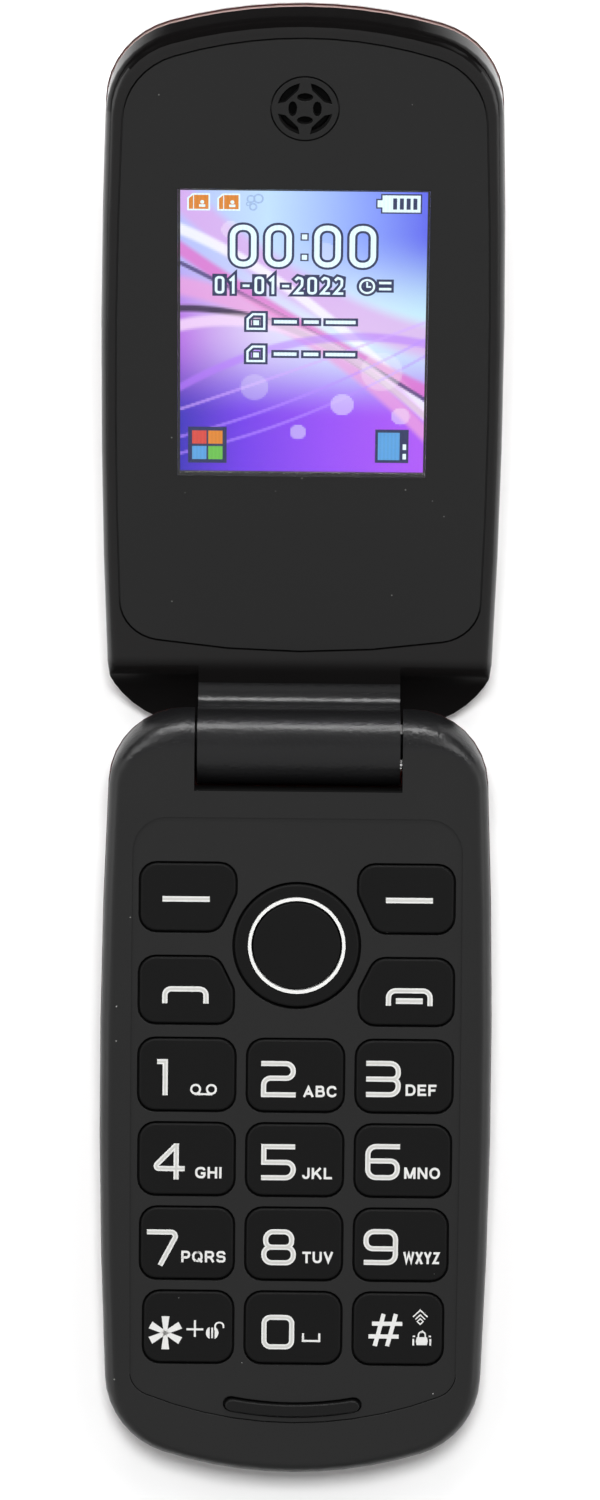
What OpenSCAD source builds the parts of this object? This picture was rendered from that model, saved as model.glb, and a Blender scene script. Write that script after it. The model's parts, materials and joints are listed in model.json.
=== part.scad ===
// Clamshell telephone, open and lying on its back.
// Each half is drawn in a frame of its own, with the hinge axis along X through the origin.
// Base frame: the bottom end lies towards -Y and the keypad faces +Z.
// Lid frame: the tip lies towards +Y and the display faces +Z.

/* [Halves] */
// Widest width of the base
body_w = 46; // [44:0.5:50]
// How much wider the lid is on each side
lid_over = 0.15; // [0:0.05:0.3]
// Length of the base from the hinge axis to the bottom end
base_len = 86.3; // [85.8:0.1:92]
// Length of the lid from the hinge axis to the tip
lid_len = 88.2; // [87:0.1:93]
// Height of the keypad face over the hinge axis
face_h = 4.5; // [4.5:0.1:5.2]
// Depth of the base behind the hinge axis
back_h = 5.1; // [5.1:0.1:6.5]
// Thickness of the lid
lid_thick = 7.2; // [7.2:0.1:9]
// Gap between the two faces when the telephone is shut
shut_gap = 0.5; // [0.45:0.05:0.8]
// Angle between the two halves when open
open_angle = 161; // [150:1:168]

/* [Outline] */
// Radius of the base's slightly bowed long sides
side_r = 770; // [600:10:1500]
// Radius of the lid's long sides
lid_side_r = 950; // [700:10:1500]
// Distance from the hinge axis to the widest place
side_mid = 40; // [35:1:45]
// Radius of the bowed bottom end
end_r = 50; // [42:1:70]
// Radius of the lid's bowed tip
tip_r = 54; // [46:1:70]
// Corner radius beside the bottom end and the tip
end_corner_r = 10; // [8:0.5:12]
// Corner radius at the base's hinge end
hinge_corner_r = 9; // [8:0.5:10]
// Corner radius at the lid's hinge end
tail_corner_r = 9.5; // [8:0.5:10]
// How far the lid's shell passes the hinge axis
lid_tail = 1.5; // [1:0.1:2]
// Step from the outer shells in to the black covers
rim_step = 0.12; // [0.05:0.01:0.2]

/* [Edges] */
// Edge radius round the keypad face
face_edge_r = 1.6; // [1:0.1:2]
// Edge radius round the back of the base
back_edge_r = 2.2; // [1.6:0.1:2.4]
// Edge radius round the display face
lid_edge_r = 1.4; // [0.8:0.1:1.6]
// Depth and edge radius of the lid's outer shell
lid_shell_h = 2.2; // [2:0.1:2.6]
// Wall thickness of the shells
wall = 1.2; // [1:0.1:1.4]

/* [Hinge] */
// Radius of the hinge barrel
barrel_r = 4.45; // [4.2:0.05:4.45]
// Length of the hinge barrel
barrel_len = 23.6; // [22:0.2:26]
// Gap between the barrel's ends and the knuckles
barrel_gap = 0.3; // [0.2:0.05:0.5]
// Radius of the hinge cartridge
can_r = 3.1; // [2.9:0.05:3.2]
// Radius of the hinge shaft
shaft_r = 1.5; // [1.3:0.1:1.7]
// Running clearance on the radius of the hinge shaft and the hollow pin
hinge_fit = 0.05; // [0.02:0.01:0.1]
// Radius of the scoop in the lid round the knuckles
scoop_r = 8.5; // [8.4:0.1:9]
// Radius of the fillet between the lid's face and the barrel
neck_fillet_r = 2; // [1.5:0.1:2.2]

/* [Display] */
// Width of the lit picture
picture_w = 28.03; // [27:0.1:30]
// Height of the lit picture
picture_h = 35.04; // [33:0.1:37]
// Distance from the lid's tip to the picture's middle
picture_tip = 38.2; // [36:0.1:38.9]
// Border of clear window round the picture
window_edge = 0.25; // [0.1:0.05:1]
// Thickness of the display panel and its window
panel_t = 0.8; // [0.6:0.1:1]
// Gap round the display panel
panel_gap = 0.2; // [0.1:0.05:0.3]
// Distance from the panel to the lid's side and tip
panel_edge = 1.75; // [1.6:0.05:2.2]
// How much further the panel's end lies from the lid's tip
panel_tip = 0.65; // [0.5:0.05:0.8]
// Distance from the hinge axis to the panel's lower edge
panel_y0 = 9.9; // [9.5:0.1:12]
// Radius of the bowed lower edge of the panel
panel_low_r = 104; // [80:1:200]
// Radius of the panel's lower corners
panel_corner_r = 5; // [4:0.5:7]
// Distance from the lid's tip to the earpiece
ear_tip = 10.7; // [9.5:0.1:11.2]
// Radius of the round earpiece hole
ear_r = 3.9; // [3.6:0.1:4.2]

/* [Keypad] */
// Web between two keys beside each other
key_web_x = 1.1; // [0.9:0.05:1.4]
// Web between two keys below each other
key_web_y = 1.15; // [0.9:0.05:1.5]
// Distance from the keypad field's side to the keys
key_side = 0.8; // [0.6:0.05:1]
// Gap round each key
key_gap = 0.2; // [0.15:0.05:0.3]
// Distance from the direction key to the first row of number keys
row_step = 15.4; // [15.3:0.1:16]
// Distance from the bottom end to the last row
row_end = 17.85; // [17.5:0.05:18.5]
// How much narrower the outer keys are in the last row
key_taper = 0.75; // [0:0.05:1.2]
// Corner radius of the key openings
key_corner_r = 2.1; // [1.5:0.1:2.5]
// How far a key goes down
key_travel = 0.4; // [0.2:0.05:0.4]
// Height of the key tops over the keypad field
key_rise = 0.1; // [0:0.05:0.3]
// Distance from the hinge axis to the middle of the round direction key
nav_y = 22.9; // [22.6:0.1:23.2]
// Radius of the direction key's opening
nav_r = 7.5; // [7.2:0.1:7.6]
// Outer radius of the white ring
ring_r = 5.76; // [5.4:0.02:5.9]
// Width of the white ring
ring_w = 0.47; // [0.3:0.01:0.6]
// Depth of the sunk keypad field
field_h = 0.2; // [0.1:0.05:0.3]
// Distance from the base's side to the keypad field
field_edge = 3.7; // [3.2:0.1:3.8]

/* [Inside] */
// Width of the battery
battery_w = 34; // [32:0.5:34.5]
// Distance from the hinge axis to the battery bay
bay_y0 = 31; // [30:0.5:34]
// Thickness of the battery cover
door_t = 0.9; // [0.8:0.05:1]
// Rim between the battery cover and the base's outline
door_rim = 2.6; // [2.5:0.1:3]
// Gap round the battery cover
door_gap = 0.12; // [0.08:0.02:0.2]
// Thickness of the main board
board_t = 0.8; // [0.6:0.1:0.8]
// Radius of the screw shanks
screw_r = 0.68; // [0.5:0.02:0.8]

/* [Hidden] */
$fn = 48;
slip = 0.02; // cut past a face that is cut open

w2 = body_w / 2;
face_w = face_h + shut_gap; // distance of the lid's face from the hinge axis
lid_back = face_w + lid_thick; // distance of the lid's outside from the hinge axis
lid_part = lid_back - lid_shell_h; // parting plane of the lid
picture_y = lid_len - picture_tip;
ear_y = lid_len - ear_tip;

// Rest pose: a common tangent under the base's bottom edge and the lid's tail lies on the table.
lean = 180 - open_angle;
low_base = [-base_len + back_edge_r, -back_h + back_edge_r];
tail_c = [-lid_tail + lid_shell_h, -lid_back + lid_shell_h];
low_lid = [tail_c[0] * cos(lean) - tail_c[1] * sin(lean), tail_c[0] * sin(lean) + tail_c[1] * cos(lean)];
low_d = low_lid - low_base;
base_tilt = atan2(-low_d[1], low_d[0]) + asin((lid_shell_h - back_edge_r) / norm(low_d));
axis_z = back_edge_r - low_base[0] * sin(base_tilt) - low_base[1] * cos(base_tilt);
lid_tilt = base_tilt + lean;

// The hinge axis lies where it puts the open telephone's middle over the origin.
far_edge = [base_len - rim_step - face_edge_r, face_h - face_edge_r];
far_base = far_edge * [cos(base_tilt), sin(base_tilt)] + face_edge_r;
far_lid = (lid_len - lid_shell_h) * cos(lid_tilt) + lid_part * sin(lid_tilt) + lid_shell_h;
axis_y = (far_base - far_lid) / 2;

module in_base() translate([0, axis_y, axis_z]) rotate([base_tilt, 0, 0]) children();
module in_lid() translate([0, axis_y, axis_z]) rotate([lid_tilt, 0, 0]) children();

// ---- plane curves ----

function unit(v) = v / norm(v);
function polar(c, r, a) = c + r * [cos(a), sin(a)];
function heading(a, b) = atan2(b[1] - a[1], b[0] - a[0]);

// Where a circle round a meets a circle round b, on the chosen side of the line ab.
function meet(a, ra, b, rb, side) = let (
    d = norm(b - a), u = (b - a) / d,
    x = (d * d + ra * ra - rb * rb) / (2 * d), h = sqrt(ra * ra - x * x))
    a + u * x + side * h * [-u[1], u[0]];

// A closed outline of tangent arcs, counter-clockwise from the middle of its low end:
// s = [half width, y of the widest place, side radius,
//      low end y, its radius, low corner radius, high end y, its radius, high corner radius].
// inset moves it inwards, and high_inset does so at the high end. A high end of large radius is straight.
function outline(s, inset = 0, high_inset = undef) = let (
    top_inset = is_undef(high_inset) ? inset : high_inset,
    side_c = [s[0] - s[2], s[1]], low_c = [0, s[3] + s[4]], high_c = [0, s[6] - s[7]],
    lc = meet(low_c, s[4] - s[5], side_c, s[2] - s[5], 1),
    hc = meet(high_c, s[7] - s[8], side_c, s[2] - s[8], -1),
    a1 = heading(low_c, lc), a2 = heading(side_c, lc),
    a3 = heading(side_c, hc), a4 = heading(high_c, hc), steps = s[7] < 1000 ? 2 : 0,
    half = concat(
        [for (i = [0:4]) polar(low_c, s[4] - inset, -90 + (a1 + 90) * i / 5)],
        [for (i = [0:8]) polar(lc, s[5] - inset, a1 + (a2 - a1) * i / 8)],
        [for (i = [1:4]) polar(side_c, s[2] - inset, a2 + (a3 - a2) * i / 5)],
        [for (i = [0:8]) let (t = i / 8, e = t * t * (3 - 2 * t))
            polar(hc, s[8] - inset - (top_inset - inset) * e, a3 + (a4 - a3) * t)],
        [for (i = [1:1:steps]) polar(high_c, s[7] - top_inset, a4 + (90 - a4) * i / steps)]),
    last = len(half) - (steps > 0 ? 2 : 1))
    concat(half, [for (i = [last:-1:1]) [-half[i][0], half[i][1]]]);

// A fillet of radius r at corner b of the path a, b, c.
function fillet(a, b, c, r, n = 5) = let (
    u = unit(a - b), w = unit(c - b), half = acos(u * w) / 2,
    m = b + unit(u + w) * r / sin(half),
    a0 = heading(m, b + u * r / tan(half)), a1 = heading(m, b + w * r / tan(half)),
    turn = (a1 - a0 + 540) % 360 - 180)
    [for (i = [0:n]) polar(m, r, a0 + turn * i / n)];

// A convex polygon with corner radius r, moved inwards by inset.
function rounded(pts, r, inset = 0) = let (
    n = len(pts),
    moved = [for (i = [0:n - 1]) let (
        u = unit(pts[(i + n - 1) % n] - pts[i]), w = unit(pts[(i + 1) % n] - pts[i]))
        pts[i] + unit(u + w) * inset / sin(acos(u * w) / 2)])
    [for (i = [0:n - 1]) each
        fillet(moved[(i + n - 1) % n], moved[i], moved[(i + 1) % n], r - inset)];

function box_pts(x0, y0, x1, y1) = [[x0, y0], [x1, y0], [x1, y1], [x0, y1]];
function centred(size) = box_pts(-size[0] / 2, -size[1] / 2, size[0] / 2, size[1] / 2);
function flip_x(pts) = [for (i = [len(pts) - 1:-1:0]) [-pts[i][0], pts[i][1]]];
function flip_y(pts) = [for (i = [len(pts) - 1:-1:0]) [pts[i][0], -pts[i][1]]];

// A place given for the right side, on side sx, which is 1 or -1.
function on_side(p, sx) = [sx * p[0], p[1]];

// ---- solids ----

// A box between two corners.
module block(lo, hi) translate(lo) cube(hi - lo);

// A prism over a closed outline, from height z0 to z1.
module slab(pts, z0, z1) translate([0, 0, z0]) linear_extrude(z1 - z0) polygon(pts);

// A round bar along X.
module bar(x0, x1, r) translate([x0, 0, 0]) rotate([0, 90, 0]) cylinder(r = r, h = x1 - x0);

// A round post along Z.
module post(p, r, z0, z1) translate([p[0], p[1], z0]) cylinder(r = r, h = z1 - z0);

// A profile given as [y, z] points, drawn out along X.
module extruded_x(pts, x0, x1)
    translate([x0, 0, 0]) rotate([90, 0, 90]) linear_extrude(x1 - x0) polygon(pts);

// A closed solid through a stack of outlines, lowest first, each with its height.
module loft(rings) {
    n = len(rings[0][1]);
    m = len(rings);
    pts = [for (g = rings) for (p = g[1]) [p[0], p[1], g[0]]];
    polyhedron(pts, concat(
        [[for (i = [0:n - 1]) i]],
        [for (k = [0:m - 2]) for (i = [0:n - 1]) let (j = (i + 1) % n)
            each [[k * n + i, (k + 1) * n + i, (k + 1) * n + j], [k * n + i, (k + 1) * n + j, k * n + j]]],
        [[for (i = [n - 1:-1:0]) (m - 1) * n + i]]));
}

// ---- base ----

base_shape = [w2, -side_mid, side_r, -base_len, end_r, end_corner_r, face_h, 2000, hinge_corner_r];
level_steps = [0, 20, 40, 55, 68, 79, 90]; // angles of the levels round an edge

// Inset of a rounded edge of radius r that ends at height top, at height z.
function edge_inset(z, top, r) = z <= top - r ? 0 : r - sqrt(max(0, r * r - pow(z - top + r, 2)));

cover_roof = face_h - wall; // underside of the keypad face
field_z = face_h - field_h;
field_w2 = w2 - field_edge;
key_w = (2 * field_w2 - 2 * key_side - 2 * key_web_x) / 3; // width of a key opening
key_dx = key_w + key_web_x;
row_y = nav_y + row_step;
key_dy = (base_len - row_end - row_y) / 3;
key_h = key_dy - key_web_y; // height of a key opening
key_top = field_z + key_rise;
flange_t = 0.6; // thickness of the ledge that holds a key in
flange_w = 0.35; // how far the ledge passes the opening
mat_t = 0.3;
dome_t = 0.2;
mat_z = board_t + dome_t; // underside of the keypad mat
mat_top = mat_z + mat_t;
key_foot = mat_top + key_travel + 0.05; // foot of the plunger over the mat
pocket_y = barrel_r + barrel_gap; // end wall of the barrel's pocket
pocket_x = barrel_len / 2 + barrel_gap;
cavity_y = pocket_y + wall + 0.25; // the base is solid between here and the hinge end
door_y0 = 7; // upper edge of the battery cover
door_z = -back_h + door_t; // inside of the battery cover
bay_floor = 0.45; // thickness of the floor between the battery and the board
bay_gap = 0.3; // gap round the battery
bay_w2 = battery_w / 2 + 2 * bay_gap;
bay_low_y = -base_len + 7.7;
bay_high_y = -bay_y0;
battery_len = bay_high_y - bay_low_y - 2 * bay_gap;
sim_y0 = 18.6; // upper end of the card holder's window
sim_w2 = 14.5; // half width of that window
upper_w2 = w2 - 3.6; // half width of the space with the loudspeaker
seat_x = w2 - 6.5; // how deep the shaft and the hollow pin reach into the knuckles
base_screw_at = [seat_x + 2.4, -9.7];
boss_r = 1.9;
head_r = 1.3;
head_t = 0.75;
cross_cut = [1.5, 0.35, 0.6];
shelf_z = door_z + 0.9; // shelf that the loudspeaker stands on
screw_tip = cover_roof - 0.5;
channel_x = w2 - 3; // middle of the channels beside the battery
channel_y = [-base_len + 11.8, -sim_y0 - 3];
antenna_z = door_z + 0.6;
tail_y0 = base_len - 6.2; // upper end of the space for the socket and the motor
tail_w2 = 13.4; // half width of that space
usb_gap = 0.1;
usb_w = 7.5;
usb_h = 2.6;
usb_out = 0.5; // how far the socket's mouth stays behind the bottom end
speaker_at = [7.6, -13];
speaker_size = [13, 8.4, 2.6];
slot_step = 1.8;
slot_size = [8, 0.8];
mic_at = [7.2, -base_len + 3.4];
bumper_w = 16.1;
bumper_h = 1.65;
bumper_y = base_len - 7.95;
bumper_rise = 0.4;

// Where the direction keys and the four keys round them lie, from the direction key's middle.
soft_x = -field_w2 + key_side;
soft_pts = [[soft_x + 0.05, 9.8], [soft_x + 0.05, 1.4], [-9.1, 1.4], [-6.95, 6], [-6.95, 9.8]];
call_pts = [[soft_x, -1.25], [soft_x, -9.5], [-7.15, -9.5], [-7.15, -5.2], [-9.1, -1.25]];
side_x = (soft_x - 7.5) / 2; // middle of the plungers of these four keys

function number_pts(col, row) = let (
    x = (col - 1) * key_dx, y = -row_y - row * key_dy, trim = key_taper * pow(row / 3, 2))
    box_pts(x - key_w / 2 + (col == 0 ? trim : 0), y - key_h / 2,
        x + key_w / 2 - (col == 2 ? trim : 0), y + key_h / 2);
function by_nav(pts) = [for (p = pts) p + [0, -nav_y]];
nav_at = [0, -nav_y];

// Each key's node name, corner points and the middle of its plunger.
number_names = [["key_1", "key_2", "key_3"], ["key_4", "key_5", "key_6"], ["key_7", "key_8", "key_9"],
    ["key_star", "key_0", "key_hash"]];
side_keys = [
    ["soft_key_left", by_nav(soft_pts), [side_x, 6.2 - nav_y]],
    ["soft_key_right", flip_x(by_nav(soft_pts)), [-side_x, 6.2 - nav_y]],
    ["call_key", by_nav(call_pts), [side_x, -6 - nav_y]],
    ["end_key", flip_x(by_nav(call_pts)), [-side_x, -6 - nav_y]]];
number_keys = [for (row = [0:3]) for (col = [0:2])
    [number_names[row][col], number_pts(col, row), [(col - 1) * key_dx, -row_y - row * key_dy]]];
keys = concat(side_keys, number_keys);

// The sunk keypad field: straight sides and a bowed lower end.
field_y0 = 7.8;
field_y1 = base_len - 6.5;
field_low_r = 47;
field_shape = [field_w2, -side_mid, 4000, -field_y1, field_low_r, 3, -field_y0, 2000, 4];

// The bumper: a short bar bowed like the bottom end.
function bumper_pts(grow) = let (r = base_len - bumper_y + 30, c = [0, -bumper_y + r],
    span = asin((bumper_w / 2 + grow - bumper_h / 2) / r), out = r + bumper_h / 2 + grow,
    in = r - bumper_h / 2 - grow, cap = bumper_h / 2 + grow)
    concat(
        [for (i = [0:8]) polar(c, out, -90 - span + 2 * span * i / 8)],
        [for (i = [1:5]) polar(polar(c, r, -90 + span), cap, -90 + span + 180 * i / 6)],
        [for (i = [0:8]) polar(c, in, -90 + span - 2 * span * i / 8)],
        [for (i = [1:5]) polar(polar(c, r, -90 - span), cap, 90 - span + 180 * i / 6)]);

// Half of the base over or under the hinge axis, rounded about it at the hinge end.
module base_half(depth, edge_r, step) {
    sgn = depth > 0 ? 1 : -1;
    rings = [for (a = level_steps) let (z = abs(depth) * sin(a))
        [sgn * z, outline(base_shape, step + edge_inset(z, abs(depth), edge_r), face_h * (1 - cos(a)))]];
    loft(depth > 0 ? rings : [for (i = [len(rings) - 1:-1:0]) rings[i]]);
}

// The barrel's pocket, as [y, z] points. Below the axis its end wall follows the barrel and closes the gap.
trough_span = 57;
function pocket_pts() = concat([[-pocket_y, face_h + 1]],
    [for (i = [0:6]) polar([0, 0], pocket_y, 180 + trough_span * i / 6)],
    [[-pocket_y * cos(trough_span), -back_h - 1], [face_h + 1, -back_h - 1], [face_h + 1, face_h + 1]]);

module barrel_pocket() extruded_x(pocket_pts(), -pocket_x, pocket_x);

// Seats of the hinge shaft and the hollow pin in the knuckles, and the ribbon's way out.
module knuckle_seats() {
    bar(pocket_x - slip, seat_x, shaft_r);
    bar(-seat_x, -pocket_x + slip, can_r);
    block([-seat_x - 1.2, -cavity_y - slip, -0.8], [-seat_x + 1.2, 0, 0.8]);
}

// The space inside a base half, from the knuckles to the bottom wall.
module base_space(z0, z1, inset) intersection() {
    slab(outline(base_shape, inset), z0, z1);
    block([-w2, -base_len, z0], [w2, -cavity_y, z1]);
}

module base_cover() color("#303030") in_base() difference() {
    base_half(face_h, face_edge_r, rim_step);
    difference() {
        base_space(-slip, cover_roof, wall + rim_step);
        for (sx = [-1, 1]) post(on_side(base_screw_at, sx), boss_r, -1, face_h);
    }
    slab(outline(field_shape), field_z, face_h + 1);
    for (k = keys) slab(rounded(k[1], key_corner_r), cover_roof - slip, face_h + 1);
    post(nav_at, nav_r, cover_roof - slip, face_h + 1);
    slab(bumper_pts(0.05), cover_roof - slip, face_h + 1);
    barrel_pocket();
    knuckle_seats();
    for (sx = [-1, 1]) post(on_side(base_screw_at, sx), screw_r + slip, -1, screw_tip + 0.1);
}

door_shape = [w2, -side_mid, side_r, -base_len, end_r, end_corner_r, -door_y0 + door_rim, 2000, 5];

// The four slots before the loudspeaker.
module speaker_slots(z0, z1) for (i = [-1.5:1.5])
    translate([speaker_at[0], speaker_at[1] + i * slot_step, 0])
        block([-slot_size[0] / 2, -slot_size[1] / 2, z0], [slot_size[0] / 2, slot_size[1] / 2, z1]);

module base_housing() color("#5a1a1e") in_base() difference() {
    base_half(-back_h, back_edge_r, 0);
    // recess of the battery cover
    slab(outline(door_shape, door_rim - door_gap), -back_h - 1, door_z);
    // battery bay
    block([-bay_w2, bay_low_y, door_z - slip], [bay_w2, bay_high_y, -bay_floor]);
    // window of the card holder
    block([-sim_w2, bay_high_y - slip, door_z - slip], [sim_w2, -sim_y0, slip]);
    // upper space with the loudspeaker
    difference() {
        block([-upper_w2, -sim_y0 + wall, shelf_z], [upper_w2, -cavity_y, slip]);
        for (sx = [-1, 1]) post(on_side(base_screw_at, sx), boss_r, -back_h, 1);
    }
    // channels beside the battery, one of them for the antenna
    for (sx = [-1, 1])
        block([sx * channel_x - 1.2, channel_y[0], antenna_z], [sx * channel_x + 1.2, channel_y[1], slip]);
    // lower space with the socket and the motor
    block([-tail_w2, -base_len + wall + 1.1, door_z + 0.5], [tail_w2, -tail_y0, slip]);
    block([-usb_w / 2 - usb_gap, -base_len - 1, -usb_h - usb_gap], [usb_w / 2 + usb_gap, -tail_y0, slip]);
    // sound hole of the microphone
    translate([mic_at[0], -base_len - 1, -0.6]) rotate([-90, 0, 0]) cylinder(r = 0.45, h = 4);
    speaker_slots(-back_h, shelf_z + slip);
    barrel_pocket();
    knuckle_seats();
    for (sx = [-1, 1]) {
        post(on_side(base_screw_at, sx), screw_r + slip, -back_h, 1);
        post(on_side(base_screw_at, sx), head_r + 0.1, -back_h, door_z + head_t + 0.1);
    }
}

module base_screw(sx) color("silver") in_base() {
    post(on_side(base_screw_at, sx), screw_r, door_z + head_t, screw_tip);
    difference() {
        post(on_side(base_screw_at, sx), head_r, door_z + 0.1, door_z + head_t + 0.1);
        for (a = [0, 90]) translate([sx * base_screw_at[0], base_screw_at[1], door_z + 0.2])
            rotate([0, 0, a]) cube(cross_cut, center = true);
    }
}

module battery_cover() color("#5a1a1e") in_base() {
    difference() {
        slab(outline(door_shape, door_rim), -back_h, door_z);
        speaker_slots(-back_h - 1, door_z + 1);
        // thumb notch at the bottom end
        translate([0, -base_len + door_rim, -back_h]) scale([2.2, 1, 1]) sphere(r = 0.45);
    }
    // ribs that stiffen it beside the battery
    for (sx = [-1, 1]) block([sx * (battery_w / 2 + bay_gap) - 0.15, bay_low_y + 8.6, door_z],
        [sx * (battery_w / 2 + bay_gap) + 0.15, bay_high_y - 9, door_z + 1.4]);
}

battery_y = bay_low_y + bay_gap;
module battery() color("#3b4a63") in_base()
    slab(rounded(box_pts(-battery_w / 2, battery_y, battery_w / 2, battery_y + battery_len), 1),
        door_z + 0.15, -bay_floor);

// A block with three open slots for the spring contacts.
contacts_size = [9, 1.9, 3.1];
module battery_contacts() color("gold") in_base() difference() {
    translate([-contacts_size[0] / 2, bay_high_y, -contacts_size[2]]) cube(contacts_size);
    for (x = [-2.8, 0, 2.8])
        block([x - 0.6, bay_high_y - 0.15, -contacts_size[2] + 0.5], [x + 0.6, bay_high_y + 0.9, -0.6]);
}

// A tray for two cards side by side, open towards the battery.
sim_size = [26.4, 8.4, 1.4];
sim_pitch = 13.2;
card_w = 12.3;
finger_w = 7;
module sim_holder() color("silver") in_base()
    translate([0, -sim_y0 - 0.6 - sim_size[1], -sim_size[2]]) difference() {
        block([-sim_size[0] / 2, 0, 0], sim_size - [sim_size[0] / 2, 0, 0]);
        for (x = [-sim_pitch / 2, sim_pitch / 2]) {
            block([x - card_w / 2, -0.4, 0.25], [x + card_w / 2, sim_size[1] - 1, sim_size[2] - 0.3]);
            block([x - finger_w / 2, -0.4, -0.1], [x + finger_w / 2, 4.1, 0.4]);
        }
    }

// The outline of a board inside the base, from its distances to the side and the ends.
function inner_shape(side, low, high, low_r) =
    [w2 - side, -side_mid, 4000, -base_len + low, low_r, 4, -high, 2000, 3];

module main_board() color("#1c5a34") in_base() slab(outline(inner_shape(3, 3.1, 12, 47)), 0, board_t);

module key_domes() color("silver") in_base() {
    slab(outline(inner_shape(4, 12.3, 12.6, 60)), board_t, board_t + dome_t / 2);
    for (k = keys) post(k[2], 2.2, board_t + dome_t / 2 - slip, mat_z);
    for (p = [[0, 0], [0, 6.2], [0, -6.2], [6.2, 0], [-6.2, 0]])
        post([p[0], p[1] - nav_y], 1.6, board_t + dome_t / 2 - slip, mat_z);
}

module keypad_mat() color("#d9d9d6") in_base()
    slab(outline(inner_shape(3.8, 11.7, 12.4, 60)), mat_z, mat_top);

module shield_can() color("silver") in_base() block([-12, -16.7, -1.8], [0.6, -12.3, 0]);

connector_size = [3.2, 2.7, 1.1];
connector_y = -12.9;
module flex_connector() color("#2a2a2a") in_base()
    translate([-seat_x - connector_size[0] / 2, connector_y - connector_size[1], -connector_size[2]])
        cube(connector_size);

module base_flex() color("#c77a1e") in_base()
    block([-seat_x - 0.2, connector_y + slip, -0.35], [-seat_x + 0.8, -can_r, -0.35 + flex_t]);

module usb_socket() color("silver") in_base() difference() {
    block([-usb_w / 2, -base_len + usb_out, -usb_h], [usb_w / 2, -base_len + 5.9, 0]);
    block([-usb_w / 2 + 0.35, -base_len - 1, -usb_h + 0.35], [usb_w / 2 - 0.35, -base_len + 5.1, -0.35]);
}

module antenna() color("#c9a227") in_base()
    block([-channel_x - 0.9, channel_y[0] + 0.2, antenna_z], [-channel_x - 0.3, channel_y[1] - 2.4, -0.3]);

module loudspeaker() color("#3a3a3a") in_base() translate([speaker_at[0], speaker_at[1], shelf_z])
    slab(rounded(centred(speaker_size), 2), 0, speaker_size[2]);

module microphone() color("gold") in_base() translate([mic_at[0], mic_at[1], 0])
    block([-1.8, -0.9, -1.2], [1.8, 1.6, 0]);

module vibration_motor() color("silver") in_base()
    translate([0, -base_len + 4.3, -1.6]) bar(-12.6, -5.2, 1.55);

module lid_bumper() color("#262626") in_base() {
    slab(bumper_pts(0), cover_roof - 0.1, face_h + bumper_rise);
    slab(bumper_pts(0.5), cover_roof - 0.6, cover_roof);
}

module hinge_shaft() color("silver") in_base() {
    bar(6.2, seat_x - 0.1, shaft_r);
    bar(5.2, 6.3, shaft_r + 0.7);
}

module hinge_pin() color("silver") in_base() difference() {
    bar(-seat_x + 0.1, -barrel_len / 2 + 3.4, can_r);
    bar(-seat_x - 1, 0, can_r - 0.9);
}

// ---- keys ----

module press_key(k) color("#1d1d1d") in_base() {
    slab(rounded(k[1], key_corner_r, key_gap), cover_roof - 0.2, key_top);
    slab(rounded(k[1], key_corner_r, -flange_w), cover_roof - 0.1 - flange_t, cover_roof - 0.1);
    post(k[2], 1.5, key_foot, cover_roof - 0.3);
}

nav_lift = 0.45; // room over the direction key's ledge for its tilt
nav_ledge = [cover_roof - nav_lift - 0.4, cover_roof - nav_lift];

module ring(r0, r1, z0, z1) translate([0, -nav_y, z0]) difference() {
    cylinder(r = r1, h = z1 - z0);
    translate([0, 0, -1]) cylinder(r = r0, h = z1 - z0 + 2);
}

module nav_pad() color("#1d1d1d") in_base() {
    ring(ring_r, nav_r - key_gap - 0.05, nav_ledge[0], key_top);
    ring(ring_r - ring_w, nav_r + flange_w + 0.05, nav_ledge[0], nav_ledge[1]);
}

module nav_ring() color("#e8e8e4") in_base()
    ring(ring_r - ring_w, ring_r - slip, nav_ledge[1], key_top + 0.08);

module nav_carrier() color("#8a8a8a") in_base()
    ring(nav_r - 0.9, nav_r + 0.3, mat_top + key_travel, mat_top + key_travel + 0.3);

module ok_key() color("#1d1d1d") in_base() {
    post(nav_at, ring_r - ring_w - key_gap, key_foot + 0.2, key_top);
    post(nav_at, nav_r - 1.3, key_foot, key_foot + 0.3);
}

// ---- lid ----

lid_shape = [w2 + lid_over, -side_mid, lid_side_r, -lid_len, tip_r, end_corner_r, lid_tail, 2000, tail_corner_r];
panel_shape = [w2, -side_mid, side_r, -lid_len + panel_tip, end_r, end_corner_r, -panel_y0 + panel_edge,
    panel_low_r, panel_corner_r + panel_edge];
seat_z = -face_w - panel_t; // seat of the display panel
floor_z = seat_z - 0.8; // underside of the frame's floor
lid_space_y = 10.5; // the lid is solid between here and the hinge end
window_size = [picture_w, picture_h] + 2 * [window_edge, window_edge];
cell_size = [31.6, 40.6, 1.2];
light_size = [33.2, 43, 1.3];
cell_z = seat_z - 0.1; // face of the display cell
light_z = cell_z - cell_size[2] - light_size[2]; // back of the light guide
cell_y = picture_y + 0.6;
lid_screw_at = [w2 - 5.4, 16.5];
flex_x = [-8, -5.6];
flex_z = -7.3; // where the ribbon enters the lid
flex_t = 0.15;
roof_t = 1;
roof_z = -lid_back + roof_t; // inside of the outer shell

// A lid outline, with the tip towards +Y.
function lid_outline(inset, tail_inset = undef) = flip_y(outline(lid_shape, inset, tail_inset));

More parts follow.
